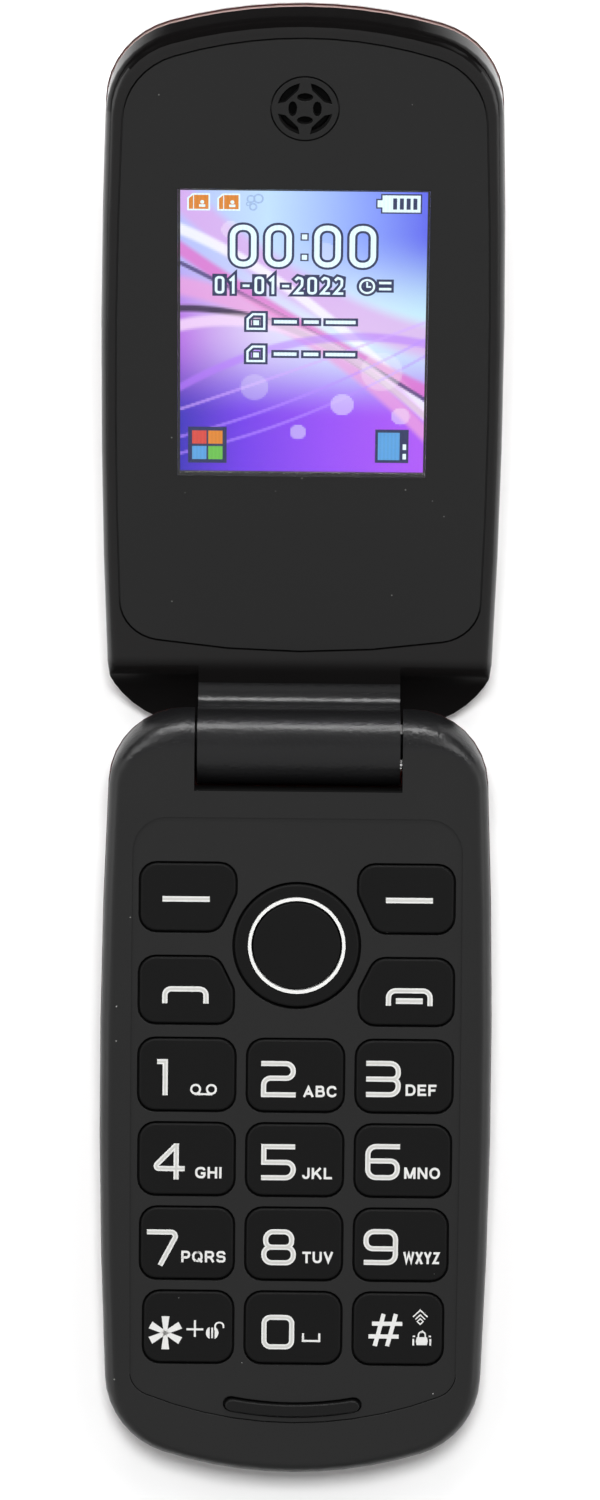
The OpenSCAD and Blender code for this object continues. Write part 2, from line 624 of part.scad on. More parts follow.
// The scoop round the knuckles beside the neck, as [y, z] points with a rolled-over edge.
roll_r = 2.5;
roll_y = 8;
function scoop_pts() = let (
    roll_c = [roll_y, -face_w - roll_r],
    top = meet([0, 0], scoop_r, roll_c, roll_r, 1), a_top = heading([0, 0], top),
    a_roll = heading(roll_c, top))
    concat([[roll_y, -face_w + 1]],
        [for (i = [0:5]) polar(roll_c, roll_r, 90 + (a_roll - 90) * i / 5)],
        [for (i = [1:8]) polar([0, 0], scoop_r, a_top + (-104 - a_top) * i / 8)],
        [[-3.5, -face_w + 1]]);

// The web between the barrel and the lid, as [y, z] points, with a fillet that runs out in the barrel's skin.
web_sink = 0.03; // how deep the fillet's end lies in the barrel
web_root = [-lid_tail + 0.6, -barrel_r + 1.2];
web_foot_z = -face_w - 1.5;
function web_pts() = let (
    reach = barrel_r - web_sink + neck_fillet_r, fc_z = -face_w + neck_fillet_r,
    fc = [sqrt(reach * reach - fc_z * fc_z), fc_z],
    a0 = heading(fc, [0, 0]))
    concat([web_root, [web_root[0], web_foot_z], [fc[0], web_foot_z]],
        [for (i = [0:6]) polar(fc, neck_fillet_r, -90 + (a0 + 90 - 360) * i / 6)]);

module lid_frame() color("#2c2c2c") in_lid() difference() {
    union() {
        difference() {
            loft(concat(
                [[-lid_part, lid_outline(rim_step)]],
                [for (a = level_steps) let (in = rim_step + lid_edge_r * (1 - cos(a)))
                    [-face_w - lid_edge_r * (1 - sin(a)), lid_outline(in)]]));
            for (sx = [-1, 1]) extruded_x(scoop_pts(),
                sx > 0 ? barrel_len / 2 : -w2 - 1, sx > 0 ? w2 + 1 : -barrel_len / 2);
        }
        bar(-barrel_len / 2, barrel_len / 2, barrel_r);
        extruded_x(web_pts(), -barrel_len / 2, barrel_len / 2);
    }
    // panel recess, display opening and earpiece hole
    slab(flip_y(outline(panel_shape, panel_edge - panel_gap)), seat_z, 0);
    translate([0, cell_y, 0]) slab(centred(cell_size + [0.4, 0.4, 0]), floor_z - 1, seat_z + 1);
    post([0, ear_y], ear_r - 0.9, floor_z - 1, seat_z + 1);
    // inside
    intersection() {
        slab(lid_outline(wall + rim_step), -lid_part - 1, floor_z);
        block([-w2, lid_space_y, -lid_back], [w2, lid_len, floor_z]);
    }
    // cartridge bore from the right, pin bore from the left, ribbon's way into the lid
    bar(-5.2, barrel_len / 2 + 1, can_r + slip);
    bar(-barrel_len / 2 - 1, -barrel_len / 2 + 3.6, can_r + hinge_fit);
    bar(-barrel_len / 2, -5, 2);
    block([flex_x[0], 0.4, flex_z - 0.2], [flex_x[1], 1.6, 0]);
    block([flex_x[0], 0.4, flex_z - 0.2], [flex_x[1], lid_space_y + slip, flex_z + 0.4]);
    for (sx = [-1, 1]) {
        post(on_side(lid_screw_at, sx), screw_r + 0.1, floor_z - 1, 0);
        post(on_side(lid_screw_at, sx), head_r + 0.1, seat_z - 0.45, 0);
    }
}

module lid_cover() color("#5a1a1e") in_lid() difference() {
    union() {
        difference() {
            loft([for (i = [len(level_steps) - 1:-1:0]) let (a = level_steps[i])
                [-lid_part - lid_shell_h * sin(a), lid_outline(lid_shell_h * (1 - cos(a)))]]);
            slab(lid_outline(wall + 0.4), roof_z, -lid_part + 1);
        }
        for (sx = [-1, 1]) post(on_side(lid_screw_at, sx), boss_r, roof_z - 0.3, floor_z);
    }
    for (sx = [-1, 1]) post(on_side(lid_screw_at, sx), screw_r + slip, roof_z + 0.3, 0);
}

module lid_screw(sx) color("silver") in_lid() {
    post(on_side(lid_screw_at, sx), screw_r, roof_z + 0.5, seat_z - 0.3);
    post(on_side(lid_screw_at, sx), head_r, seat_z - 0.45, seat_z - 0.05);
}

module display_panel() color("#2f2f2f") in_lid() difference() {
    slab(flip_y(outline(panel_shape, panel_edge)), seat_z, -face_w);
    translate([0, picture_y, 0]) slab(centred(window_size), seat_z - 1, 0);
    post([0, ear_y], ear_r, seat_z - 1, 0);
}

module display_window() color([0.6, 0.7, 0.8, 0.35]) in_lid()
    translate([0, picture_y, 0]) slab(centred(window_size - 2 * [slip, slip]), seat_z, -face_w);

// The earpiece grille: four bent slots round four small ovals.
module earpiece_grille() color("#262626") in_lid() translate([0, ear_y, seat_z]) difference() {
    cylinder(r = ear_r - 0.18, h = panel_t);
    for (a = [0:90:270]) {
        rotate([0, 0, a]) translate([1.38, 0, -1]) linear_extrude(panel_t + 2)
            polygon([for (t = [0:30:330]) [0.5 * cos(t), 0.92 * sin(t)]]);
        rotate([0, 0, a + 45]) translate([0, 0, -1]) linear_extrude(panel_t + 2) polygon(concat(
            [for (t = [-34:8.5:34]) polar([0, 0], 3.1, t)], [[2.1, 1], [2.1, -1]]));
    }
}

receiver_h = 2.6;
module earpiece_receiver() color("#3a3a3a") in_lid()
    post([0, ear_y], ear_r + 0.7, floor_z - receiver_h, floor_z);

module lcd_cell() color("#101018") in_lid()
    translate([0, cell_y, 0]) slab(centred(cell_size), cell_z - cell_size[2], cell_z);

module lcd_backlight() color("#e8e8e8") in_lid()
    translate([0, cell_y, 0]) slab(centred(light_size), light_z, light_z + light_size[2]);

board2_size = [32, 0.7]; // width and thickness of the lid's board
module lid_board() color("#1c5a34") in_lid()
    block([-board2_size[0] / 2, lid_screw_at[1] + boss_r + 1.6, light_z - board2_size[1]],
        [board2_size[0] / 2, cell_y + cell_size[1] / 2 - 0.1, light_z]);

magnet_size = [5, 3, 1.2];
module lid_magnet() color("silver") in_lid() translate([10, ear_y - 1.7, floor_z - magnet_size[2]])
    cube(magnet_size);

// The ribbon: rolled up in the hollow pin, then down through the barrel's wall and along the lid.
module display_flex() color("#c77a1e") in_lid() {
    x0 = flex_x[0] + 0.2;
    x1 = flex_x[1] - 0.2;
    block([x0, 0.9, flex_z], [x1, cell_y - light_size[1] / 2 - 0.05, flex_z + flex_t]);
    block([x0, 0.9, flex_z], [x1, 0.9 + flex_t, -1]);
    bar(-seat_x + 1, x1, 1.4);
}

module hinge_can() color("silver") in_lid() difference() {
    bar(-5, barrel_len / 2 - 0.05, can_r);
    bar(-4.4, barrel_len / 2 - 0.8, can_r - 0.6);
    bar(0, barrel_len, shaft_r + hinge_fit);
}

module hinge_cam() color("#b08d57") in_lid() difference() {
    bar(3.4, 5.1, can_r - 0.65);
    bar(3, 6, 0.8);
}

module hinge_spring() color("silver") in_lid() difference() {
    bar(-4.3, 3.3, can_r - 0.75);
    bar(-5, 4, can_r - 1.25);
}

lid_frame();
lid_cover();
display_panel();
display_window();
earpiece_grille();
earpiece_receiver();
lcd_cell();
lcd_backlight();
lid_board();
lid_magnet();
lid_screw(-1);  // lid_screw_left
lid_screw(1);  // lid_screw_right
display_flex();
hinge_can();
hinge_cam();
hinge_spring();
base_cover();
base_housing();
hinge_shaft();
hinge_pin();
base_flex();
flex_connector();
main_board();
key_domes();
keypad_mat();
battery();
battery_contacts();
sim_holder();
shield_can();
usb_socket();
antenna();
loudspeaker();
microphone();
vibration_motor();
base_screw(-1);  // base_screw_left
base_screw(1);  // base_screw_right
lid_bumper();
battery_cover();
nav_carrier();
nav_pad();
nav_ring();
ok_key();
for (k = keys) press_key(k);
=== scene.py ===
"""Dresses an open clamshell telephone: shells, keys, printing, display picture, lights and camera.

Every piece is modelled in millimetres in the frame of one half, with the hinge axis along X through
the origin and the keypad or the display facing +Z, and is then placed in the row frame, in metres.
"""

from __future__ import annotations

import json
import logging
import math
from contextlib import contextmanager
from dataclasses import dataclass, replace
from enum import Enum
from typing import Any, Callable, Iterator, Sequence

import bmesh
import bpy
from mathutils import Matrix, Vector

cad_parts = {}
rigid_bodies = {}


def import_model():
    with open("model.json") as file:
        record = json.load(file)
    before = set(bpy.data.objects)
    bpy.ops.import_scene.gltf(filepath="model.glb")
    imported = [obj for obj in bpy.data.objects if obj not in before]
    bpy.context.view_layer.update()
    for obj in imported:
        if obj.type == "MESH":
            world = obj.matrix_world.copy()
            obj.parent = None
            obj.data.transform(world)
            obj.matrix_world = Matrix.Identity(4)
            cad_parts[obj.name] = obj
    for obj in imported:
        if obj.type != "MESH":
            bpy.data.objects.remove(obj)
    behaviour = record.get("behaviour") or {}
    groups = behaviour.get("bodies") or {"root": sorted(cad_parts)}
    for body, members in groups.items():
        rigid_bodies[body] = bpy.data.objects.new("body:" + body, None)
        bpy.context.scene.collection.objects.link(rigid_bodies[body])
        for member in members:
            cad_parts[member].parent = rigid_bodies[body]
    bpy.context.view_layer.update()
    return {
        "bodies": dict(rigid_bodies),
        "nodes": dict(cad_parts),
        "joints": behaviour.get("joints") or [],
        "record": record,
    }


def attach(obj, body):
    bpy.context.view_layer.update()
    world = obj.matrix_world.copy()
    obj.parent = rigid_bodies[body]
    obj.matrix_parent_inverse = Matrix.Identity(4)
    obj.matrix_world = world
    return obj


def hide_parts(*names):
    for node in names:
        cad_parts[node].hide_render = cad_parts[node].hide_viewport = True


LOG = logging.getLogger("flip_phone")
MM = 1000  # in a metre
Point = tuple[float, float]
Spot = tuple[float, float, float]
Line = tuple[tuple[float, ...], ...]  # points of x and y, and a corner radius where they have one
Test = Callable[[Any], bool]


# ---------------------------------------------------------------- choices


class Slot(Enum):
    """Material slots of the record."""

    BLACK = "black_plastic"
    WINE = "wine_gloss"
    KEY = "key_plastic"
    RING = "white_ring"
    WINDOW = "clear_window"
    CELL = "lcd_glass"
    RUBBER = "rubber_black"
    RESIN = "dark_resin"
    BRASS = "brass"


class Part(Enum):
    """What an edit works on."""

    VERTS = "VERT"
    EDGES = "EDGE"
    FACES = "FACE"


# ---------------------------------------------------------------- nodes and colours


def srgb(hex_colour: str, share: float = 1.0) -> tuple[float, float, float, float]:
    """Turns an sRGB hex colour into the linear colour that a socket takes.

    Args:
        hex_colour: the colour as "#rrggbb".
        share: how bright it is, as a share of that.

    Returns:
        Linear red, green, blue and alpha.
    """
    parts = [int(hex_colour[i : i + 2], 16) / 255 for i in (1, 3, 5)]
    red, green, blue = (share * (p / 12.92 if p <= 0.04045 else ((p + 0.055) / 1.055) ** 2.4) for p in parts)
    return red, green, blue, 1.0


@dataclass
class Nodes:
    """A node tree that is being filled.

    Attributes:
        tree: the tree.
        end: the node that the rest leads to.
        place: the place on the piece in mm.
    """

    tree: bpy.types.NodeTree
    end: Any = None
    place: Any = None

    def add(self, kind: str, inputs: dict[Any, Any] | None = None, **settings: Any) -> Any:
        """Adds a node with its settings, and fills or links its inputs.

        Args:
            kind: the node's type after the word ShaderNode.
            inputs: what goes into its inputs, by name or number.
            **settings: its own settings; stops is a colour ramp's list of places and hex colours.

        Returns:
            The new node.
        """
        node = self.tree.nodes.new("ShaderNode" + kind)
        stops = settings.pop("stops", ())
        for name, value in settings.items():
            setattr(node, name, value)
        while stops and len(node.color_ramp.elements) < len(stops):
            node.color_ramp.elements.new(0.5)
        for k, (position, colour) in enumerate(stops):
            node.color_ramp.elements[k].position = position
            node.color_ramp.elements[k].color = srgb(colour)
        self.fill(node, inputs or {})
        return node

    def fill(self, node: Any, inputs: dict[Any, Any]) -> None:
        """Fills or links a node's inputs.

        Args:
            node: the node.
            inputs: a value, an output, or a node whose main output is meant, for each input; From and To
                each stand for both ends of a range.
        """
        for key, value in inputs.items():
            if key in ("From", "To"):
                self.fill(node, {f"{key} Min": value[0], f"{key} Max": value[1]})
                continue
            if isinstance(value, bpy.types.Node):
                value = value.outputs[2 if value.type == "MIX" else 0]
            if isinstance(value, bpy.types.NodeSocket):
                self.tree.links.new(value, node.inputs[key])
            else:
                node.inputs[key].default_value = value


# ---------------------------------------------------------------- finishes


@dataclass(frozen=True)
class Finish:
    """A surface: its material's plain name, colour and gloss.

    Attributes:
        name: what the surface is made of, and how.
        colour: its sRGB hex colour.
        roughness: 0 for a mirror, 1 for chalk.
        ior: refractive index.
    """

    name: str
    colour: str
    roughness: float = 0.5
    ior: float = 1.5

    def material(self) -> bpy.types.Material:
        """Builds the material once and returns it."""
        made = bpy.data.materials.get(self.name)
        if made is None:
            made = bpy.data.materials.new(self.name)
            made.use_nodes = True
            on = Nodes(made.node_tree, made.node_tree.nodes["Principled BSDF"])
            on.fill(on.end, {"Base Color": srgb(self.colour), "Roughness": self.roughness, "IOR": self.ior})
            spot = on.add("TexCoord")
            on.place = on.add("Mapping", {"Vector": spot.outputs["Object"], "Scale": (MM, MM, MM)})
            self.dress(on)
        return made

    def dress(self, on: Nodes) -> None:
        """Adds the surface's own detail.

        Args:
            on: the material's nodes.
        """

    def mottle(self, on: Nodes, size: float, share: float) -> Any:
        """Varies colour and gloss softly, as flow and handling do.

        Args:
            on: the material's nodes.
            size: width of a patch in mm.
            share: how far colour and gloss go up and down, as a share.

        Returns:
            The node that varies the colour.
        """
        cloud = on.add("TexNoise", {"Vector": on.place, "Scale": 1 / size, "Detail": 3.0})
        span = (self.roughness * (1 - share), self.roughness * (1 + share))
        gloss = on.add("MapRange", {"Value": cloud, "From": (0.3, 0.7), "To": span})
        shades = {6: srgb(self.colour, 1 - share), 7: srgb(self.colour, 1 + share)}
        tint = on.add("Mix", {"Factor": cloud, **shades}, data_type="RGBA")
        on.fill(on.end, {"Roughness": gloss, "Base Color": tint})
        return tint


@dataclass(frozen=True)
class MouldedPlastic(Finish):
    """Injection-moulded plastic from a spark-eroded or polished mould.

    Attributes:
        grain: width of a grain in mm.
        depth: depth of the grain in mm.
        patch: width of the soft patches in mm.
        vary: how far gloss and colour vary, as a share.
        dust: share of the cells that hold a speck of dust.
        dust_cell: width of such a cell in mm.
        speck: radius of a speck, as a share of its cell.
    """

    grain: float = 0.3
    depth: float = 0.004
    patch: float = 9.0
    vary: float = 0.06
    dust: float = 0.0
    dust_cell: float = 1.5
    speck: float = 0.055

    def dress(self, on: Nodes) -> None:
        """Adds grain, soft patches and a few specks of dust.

        Args:
            on: the material's nodes.
        """
        tint = self.mottle(on, self.patch, self.vary)
        fine = {"Scale": 1 / self.grain, "Detail": 2.0, "Roughness": 0.6}
        grain = on.add("TexNoise", {"Vector": on.place, **fine})
        bump = on.add("Bump", {"Height": grain, "Strength": 1.0, "Distance": self.depth / MM})
        on.fill(on.end, {"Normal": bump})
        if self.dust > 0:
            cell = on.add("TexVoronoi", {"Vector": on.place, "Scale": 1 / self.dust_cell})
            near = on.add("Math", {0: cell, 1: self.speck}, operation="LESS_THAN")
            draw = on.add("SeparateColor", {"Color": cell.outputs["Color"]})
            some = on.add("Math", {0: draw, 1: self.dust}, operation="LESS_THAN")
            both = on.add("Math", {0: near, 1: some}, operation="MULTIPLY")
            fleck = on.add("Mix", {"Factor": both, 6: tint, 7: srgb("#8e8e8c")}, data_type="RGBA")
            on.fill(on.end, {"Base Color": fleck})


@dataclass(frozen=True)
class PolishWithPaintedShade(MouldedPlastic):
    """Polished plastic with painted shade round one place: a refractive index near 1 there cuts its
    reflections down, and it rises to the plastic's own further out.

    Attributes:
        centre: the place in mm.
        count: how much the distance along each axis counts, 0 or 1.
        reach: where the painted shade starts to fade and where it is gone, in mm from there.
        deep: refractive index at the place itself, near 1, so that hardly any reflection is left there:
            painted shade.
    """

    centre: Spot = (0.0, 0.0, 0.0)
    count: Spot = (1.0, 1.0, 1.0)
    reach: Point = (10.0, 20.0)
    deep: float = 1.04

    def dress(self, on: Nodes) -> None:
        """Adds the painted shade, a lower refractive index near the place, to the plastic's own detail.

        Args:
            on: the material's nodes.
        """
        MouldedPlastic.dress(self, on)
        # Painted shade: the refractive index drops towards the place, so that reflections die away there.
        far = on.add("VectorMath", {0: on.place, 1: self.centre}, operation="SUBTRACT")
        part = on.add("VectorMath", {0: far, 1: self.count}, operation="MULTIPLY")
        away = on.add("VectorMath", {0: part}, operation="LENGTH")
        span = {"From": self.reach, "To": (self.deep, self.ior)}
        index = on.add("MapRange", {"Value": away.outputs["Value"], **span}, interpolation_type="SMOOTHSTEP")
        on.fill(on.end, {"IOR": index})


@dataclass(frozen=True)
class Lacquer(Finish):
    """Coloured coat under clear lacquer on moulded plastic.

    Attributes:
        peel: width of the lacquer's soft waves in mm.
        wave: height of these waves in mm.
        flake: width of a glinting flake in mm.
        coat: how much clear lacquer lies on top.
    """

    peel: float = 1.6
    wave: float = 0.0012
    flake: float = 0.12
    coat: float = 0.8

    def dress(self, on: Nodes) -> None:
        """Adds the clear coat, its orange peel and a fine flake.

        Args:
            on: the material's nodes.
        """
        tint = self.mottle(on, 14.0, 0.08)
        flake = on.add("TexVoronoi", {"Vector": on.place, "Scale": 1 / self.flake})
        shine = on.add("SeparateColor", {"Color": flake.outputs["Color"]})
        spark = on.add("MapRange", {"Value": shine, "From": (0.8, 1.0), "To": (0.0, 0.35)})
        lit = on.add("Mix", {"Factor": spark, 6: tint, 7: srgb("#9a3a34")}, data_type="RGBA")
        peel = on.add("TexNoise", {"Vector": on.place, "Scale": 1 / self.peel, "Detail": 1.0})
        bump = on.add("Bump", {"Height": peel, "Strength": 1.0, "Distance": self.wave / MM})
        clear = {"Coat Weight": self.coat, "Coat Roughness": 0.04, "Coat Normal": bump}
        on.fill(on.end, {"Base Color": lit, **clear})


@dataclass(frozen=True)
class Ink(Finish):
    """Screen-printed ink: slightly uneven cover with a soft grain."""

    def dress(self, on: Nodes) -> None:
        """Adds the mesh's faint cover marks.

        Args:
            on: the material's nodes.
        """
        self.mottle(on, 0.35, 0.05)


@dataclass(frozen=True)
class Metal(Finish):
    """Plated or rolled metal with fine drawn lines along X."""

    def dress(self, on: Nodes) -> None:
        """Adds drawn lines to the gloss and the surface.

        Args:
            on: the material's nodes.
        """
        along = on.add("Mapping", {"Vector": on.place, "Scale": (0.6, 14.0, 14.0)})
        lines = on.add("TexNoise", {"Vector": along, "Scale": 1.0, "Detail": 3.0})
        gloss = on.add("MapRange", {"Value": lines, "To": (self.roughness * 0.7, self.roughness * 1.4)})
        bump = on.add("Bump", {"Height": lines, "Strength": 0.4, "Distance": 4e-6})
        on.fill(on.end, {"Metallic": 1.0, "Roughness": gloss, "Normal": bump})


@dataclass(frozen=True)
class Clear(Finish):
    """Clear sheet, such as acrylic or glass, with faint wiping marks in its gloss."""

    def dress(self, on: Nodes) -> None:
        """Lets light through and adds faint wiping marks.

        Args:
            on: the material's nodes.
        """
        wipe = on.add("TexNoise", {"Vector": on.place, "Scale": 0.12, "Detail": 4.0})
        gloss = on.add("MapRange", {"Value": wipe, "From": (0.5, 0.8), "To": (0.0, 0.03)})
        on.fill(on.end, {"Transmission Weight": 1.0, "Roughness": gloss})


@dataclass(frozen=True)
class Board(Finish):
    """Circuit board: solder mask over tracks, with tinned pads."""

    def dress(self, on: Nodes) -> None:
        """Adds lighter tracks and small pads.

        Args:
            on: the material's nodes.
        """
        tint = self.mottle(on, 4.0, 0.1)
        looks = (
            (0.9, {"distance": "CHEBYCHEV", "feature": "F1"}, 0.16, "#b9b49c"),
            (0.55, {"distance": "MANHATTAN", "feature": "DISTANCE_TO_EDGE"}, 0.05, "#2c7a4a"),
        )
        for scale, cells, width, colour in looks:
            cell = on.add("TexVoronoi", {"Vector": on.place, "Scale": scale}, **cells)
            near = on.add("Math", {0: cell.outputs["Distance"], 1: width}, operation="LESS_THAN")
            tint = on.add("Mix", {"Factor": near, 6: tint, 7: srgb(colour)}, data_type="RGBA")
        on.fill(on.end, {"Base Color": tint})


@dataclass(frozen=True)
class Glow(Finish):
    """A lit spot of the display, in one colour with the display's fine line pattern.

    Attributes:
        strength: brightness, where 1 shows the colour as written.
    """

    strength: float = 1.0

    def dress(self, on: Nodes) -> None:
        """Lights the colour, with faint rows of display dots.

        Args:
            on: the material's nodes.
        """
        rows = on.add("TexWave", {"Vector": on.place, "Scale": 0.73, "Distortion": 0.0}, bands_direction="X")
        shades = {6: srgb(self.colour, 0.9), 7: srgb(self.colour)}
        self.light(on, on.add("Mix", {"Factor": rows.outputs["Fac"], **shades}, data_type="RGBA"))

    def light(self, on: Nodes, colour: Any) -> None:
        """Makes the surface shine with a colour of its own.

        Args:
            on: the material's nodes.
            colour: the node that gives the colour.
        """
        shine = {"Emission Color": colour, "Emission Strength": self.strength}
        on.fill(on.end, {"Base Color": srgb("#050505"), **shine})


@dataclass(frozen=True)
class Ribbon:
    """A soft band across the display's picture, along y = rise + slope x + bend x squared.

    Attributes:
        rise: height at the left edge, as a share of the picture.
        slope: how steeply it starts.
        bend: how much it curves.
        half: half width as a share of the picture.
        colour: its sRGB hex colour.
        cover: how much of what lies behind it hides.
    """

    rise: float
    slope: float
    bend: float
    half: float
    colour: str
    cover: float

    def lay(self, on: Nodes, below: Any, across: Any, up: Any) -> Any:
        """Lays the ribbon over the picture.

        Args:
            on: the material's nodes.
            below: the node whose colour the ribbon covers.
            across: place across the picture, from 0 to 1.
            up: place up the picture, from 0 to 1.

        Returns:
            The node that mixes it in.
        """
        square = on.add("Math", {0: across, 1: across}, operation="MULTIPLY")
        bent = on.add("Math", {0: square, 1: self.bend, 2: self.rise}, operation="MULTIPLY_ADD")
        line = on.add("Math", {0: across, 1: self.slope, 2: bent}, operation="MULTIPLY_ADD")
        off = on.add("Math", {0: up, 1: line}, operation="SUBTRACT")
        away = on.add("Math", {0: off}, operation="ABSOLUTE")
        span = {"From": (self.half * 0.35, self.half), "To": (self.cover, 0.0)}
        mask = on.add("MapRange", {"Value": away, **span}, interpolation_type="SMOOTHSTEP")
        return on.add("Mix", {"Factor": mask, 6: below, 7: srgb(self.colour)}, data_type="RGBA")


@dataclass(frozen=True)
class LitPicture(Glow):
    """The display's lit background: a colour wash with ribbons and rings of light, on the piece's own UV map.

    Attributes:
        wash: for the foot, the middle and the top, the colours at given places across.
        blends: heights between which the middle takes over from the foot, and the top from the middle.
        ribbons: the bands across it, the rearmost first.
        rings: centre x, centre y, radius and brightness of each ring of light.
    """

    wash: tuple[tuple[tuple[float, str], ...], ...] = ()
    blends: tuple[Point, ...] = ()
    ribbons: tuple[Ribbon, ...] = ()
    rings: tuple[tuple[float, float, float, float], ...] = ()

    def dress(self, on: Nodes) -> None:
        """Lights the wash, the ribbons and the rings.

        Args:
            on: the material's nodes.
        """
        spot = on.add("UVMap", uv_map="picture")
        dots = on.add("VectorMath", {0: spot.outputs["UV"], 1: (1 / 128, 1 / 160, 1.0)}, operation="SNAP")
        axes = on.add("SeparateXYZ", {"Vector": dots})
        across, up = axes.outputs["X"], axes.outputs["Y"]
        paint, *layers = (on.add("ValToRGB", {"Fac": across}, stops=stops) for stops in self.wash)
        for layer, heights in zip(layers, self.blends):
            blend = on.add("MapRange", {"Value": up, "From": heights}, interpolation_type="SMOOTHSTEP")
            paint = on.add("Mix", {"Factor": blend, 6: paint, 7: layer}, data_type="RGBA")
        for band in self.ribbons:
            paint = band.lay(on, paint, across, up)
        for x, y, radius, light in self.rings:
            far = on.add("VectorMath", {0: dots, 1: (x, y, 0.0)}, operation="SUBTRACT")
            tall = on.add("VectorMath", {0: far, 1: (1.0, 1.25, 0.0)}, operation="MULTIPLY")
            away = on.add("VectorMath", {0: tall}, operation="LENGTH")
            span = {"From": (radius * 0.9, radius), "To": (light, 0.0)}
            inside = on.add("MapRange", {"Value": away.outputs["Value"], **span})
            paint = on.add("Mix", {"Factor": inside, 6: paint, 7: srgb("#ffffff")}, data_type="RGBA")
        self.light(on, paint)


# ABS from a spark-eroded mould: a soft sheen that breaks up in the highlights. The real grain is about
# 0.1 mm; it is drawn at 0.34 mm, because it would be too fine to show.
MATT_ABS = MouldedPlastic("matt_black_abs", "#161616", 0.42, grain=0.34, depth=0.012, vary=0.05, dust=0.05)
# The same ABS over the knuckles, the neck and the barrel, where it is seen at a glancing angle.
BARREL_ABS = MouldedPlastic(
    "textured_black_abs", "#151516", 0.3, 1.52, grain=0.5, depth=0.045, vary=0.05, dust=0.04
)
# The same ABS, rough and nearly black, in the step round the keypad's foot: painted shade in the crease,
# which shows as a dark line.
STEP_SHADE_ABS = MouldedPlastic("black_abs_painted_shade_in_step", "#070707", 0.8, 1.2, grain=0.3, depth=0.006, vary=0.05)
# ABS from a polished mould: dark, with long soft reflections. Round the knuckles its refractive index drops
# nearly to 1, so that the reflections die away there: painted shade for the hollows, where no light gets in.
GLOSS_ABS = PolishWithPaintedShade(
    "polished_black_abs", "#121111", 0.24, 1.5, grain=1.8, depth=0.0015, vary=0.1, centre=(0.0, 0.47, 11.12),
    count=(0.0, 1.0, 1.0), reach=(8.3, 10.5), deep=1.03,
)
# The same round the lid's end, darker and glossier, with its refractive index dropped nearly to 1 towards the
# tip, so that it takes on hardly any of the white table: a painted dark reflection.
END_ABS = PolishWithPaintedShade(
    "black_abs_painted_dark_reflection", "#0d0c0c", 0.14, 1.45, grain=1.8, depth=0.0015, vary=0.1,
    centre=(-1.5, 80.5, 37.6), reach=(13.0, 27.0), deep=1.02,
)
# Back-painted acrylic with a satin hard coat: an even dark grey with a few specks of dust.
PANEL_ACRYLIC = MouldedPlastic("satin_painted_acrylic", "#191919", ior=1.49, depth=0.002, vary=0.04, dust=0.1)
# Soft-touch coat on the key caps: almost black, no sharp reflection.
KEY_CAP = MouldedPlastic("soft_touch_key_cap", "#0e0e0e", 0.55, 1.28, grain=0.25, vary=0.05, dust=0.03)
# Black silicone rubber of the bumper: dull and very dark.
RUBBER = MouldedPlastic("black_silicone_rubber", "#0d0d0d", 0.5, 1.38, depth=0.006)
# ABS of the earpiece insert, a little smoother than the panel round it.
GRILLE_ABS = MouldedPlastic("satin_black_abs", "#171717", 0.45, 1.5, vary=0.05)
# Wine-red coat under clear lacquer: deep colour with sharp pale reflections.
WINE_LACQUER = Lacquer("wine_red_lacquer", "#34100d", 0.42, 1.25)
# A pale pink metal finish in a thin band along the lid's rim, which mirrors the white table as a thin pale
# pink line: a painted highlight along the edge of the wine-red lacquer.
RIM_HIGHLIGHT = Metal("pale_pink_painted_rim_highlight", "#a88a84", 0.3)
# Screen-printed white ink.
WHITE_INK = Ink("white_printing_ink", "#d6d6d4")
# The same ink a shade darker, laid over the middle of some lines, so that their edges look lighter.
GREY_INK = Ink("darker_white_printing_ink", "#bdbdb9")
# White moulded ABS of the ring round the middle key.
WHITE_ABS = MouldedPlastic("white_moulded_abs", "#e0e0de", 0.35, 1.5, grain=0.4, depth=0.002, vary=0.03)
# Grey POM of the parts that slide or carry.
GREY_POM = MouldedPlastic("grey_moulded_pom", "#8a8a8a", 0.4, 1.48, grain=0.4)
# White polycarbonate of the light guide.
WHITE_PC = MouldedPlastic(
    "white_diffusing_polycarbonate", "#e6e6e4", 0.4, 1.58, grain=0.5, depth=0.002, vary=0.02
)
# Milky silicone sheet under the keys.
MILKY_SILICONE = MouldedPlastic("milky_silicone", "#cfcfca", 0.5, 1.43, grain=0.5)
# Dark glass-filled resin of the socket parts and small parts.
DARK_RESIN = MouldedPlastic("glass_filled_resin", "#1c1c1e", 0.5, 1.55, grain=0.25, depth=0.006)
# Printed paper sleeve round the battery cell, plain.
BATTERY_SLEEVE = MouldedPlastic("plain_battery_sleeve", "#2b3a55", 0.35, grain=0.6, depth=0.003, vary=0.04)
# Clear hard-coated acrylic of the display window.
CLEAR_ACRYLIC = Clear("clear_hard_coated_acrylic", "#ffffff", 0.0, 1.49)
# Glass of the display cell with its dark border.
CELL_GLASS = MouldedPlastic("dark_display_glass", "#0a0a10", 0.08, 1.52, grain=2.0, depth=0.0005, vary=0.05)
# Polyimide film of the ribbons: amber and glossy.
AMBER_FILM = MouldedPlastic("polyimide_film", "#b4701c", 0.25, 1.7, grain=1.0, depth=0.002)
# Green solder mask with tinned pads.
SOLDER_MASK = Board("green_solder_mask", "#14492a", 0.3, 1.55)
# Nickel on steel: pale and bright, of the cans, springs and screws.
PLATED_STEEL = Metal("nickel_plated_steel", "#b9b9bb", 0.28)
# Blacked steel of the shaft and the pin, which show as a dark line beside the barrel.
BLACKED_STEEL = Metal("black_oxide_steel", "#242424", 0.55)
# Thin gold on bronze, of the contacts.
GOLD_PLATE = Metal("gold_plated_bronze", "#d8ac52", 0.25)
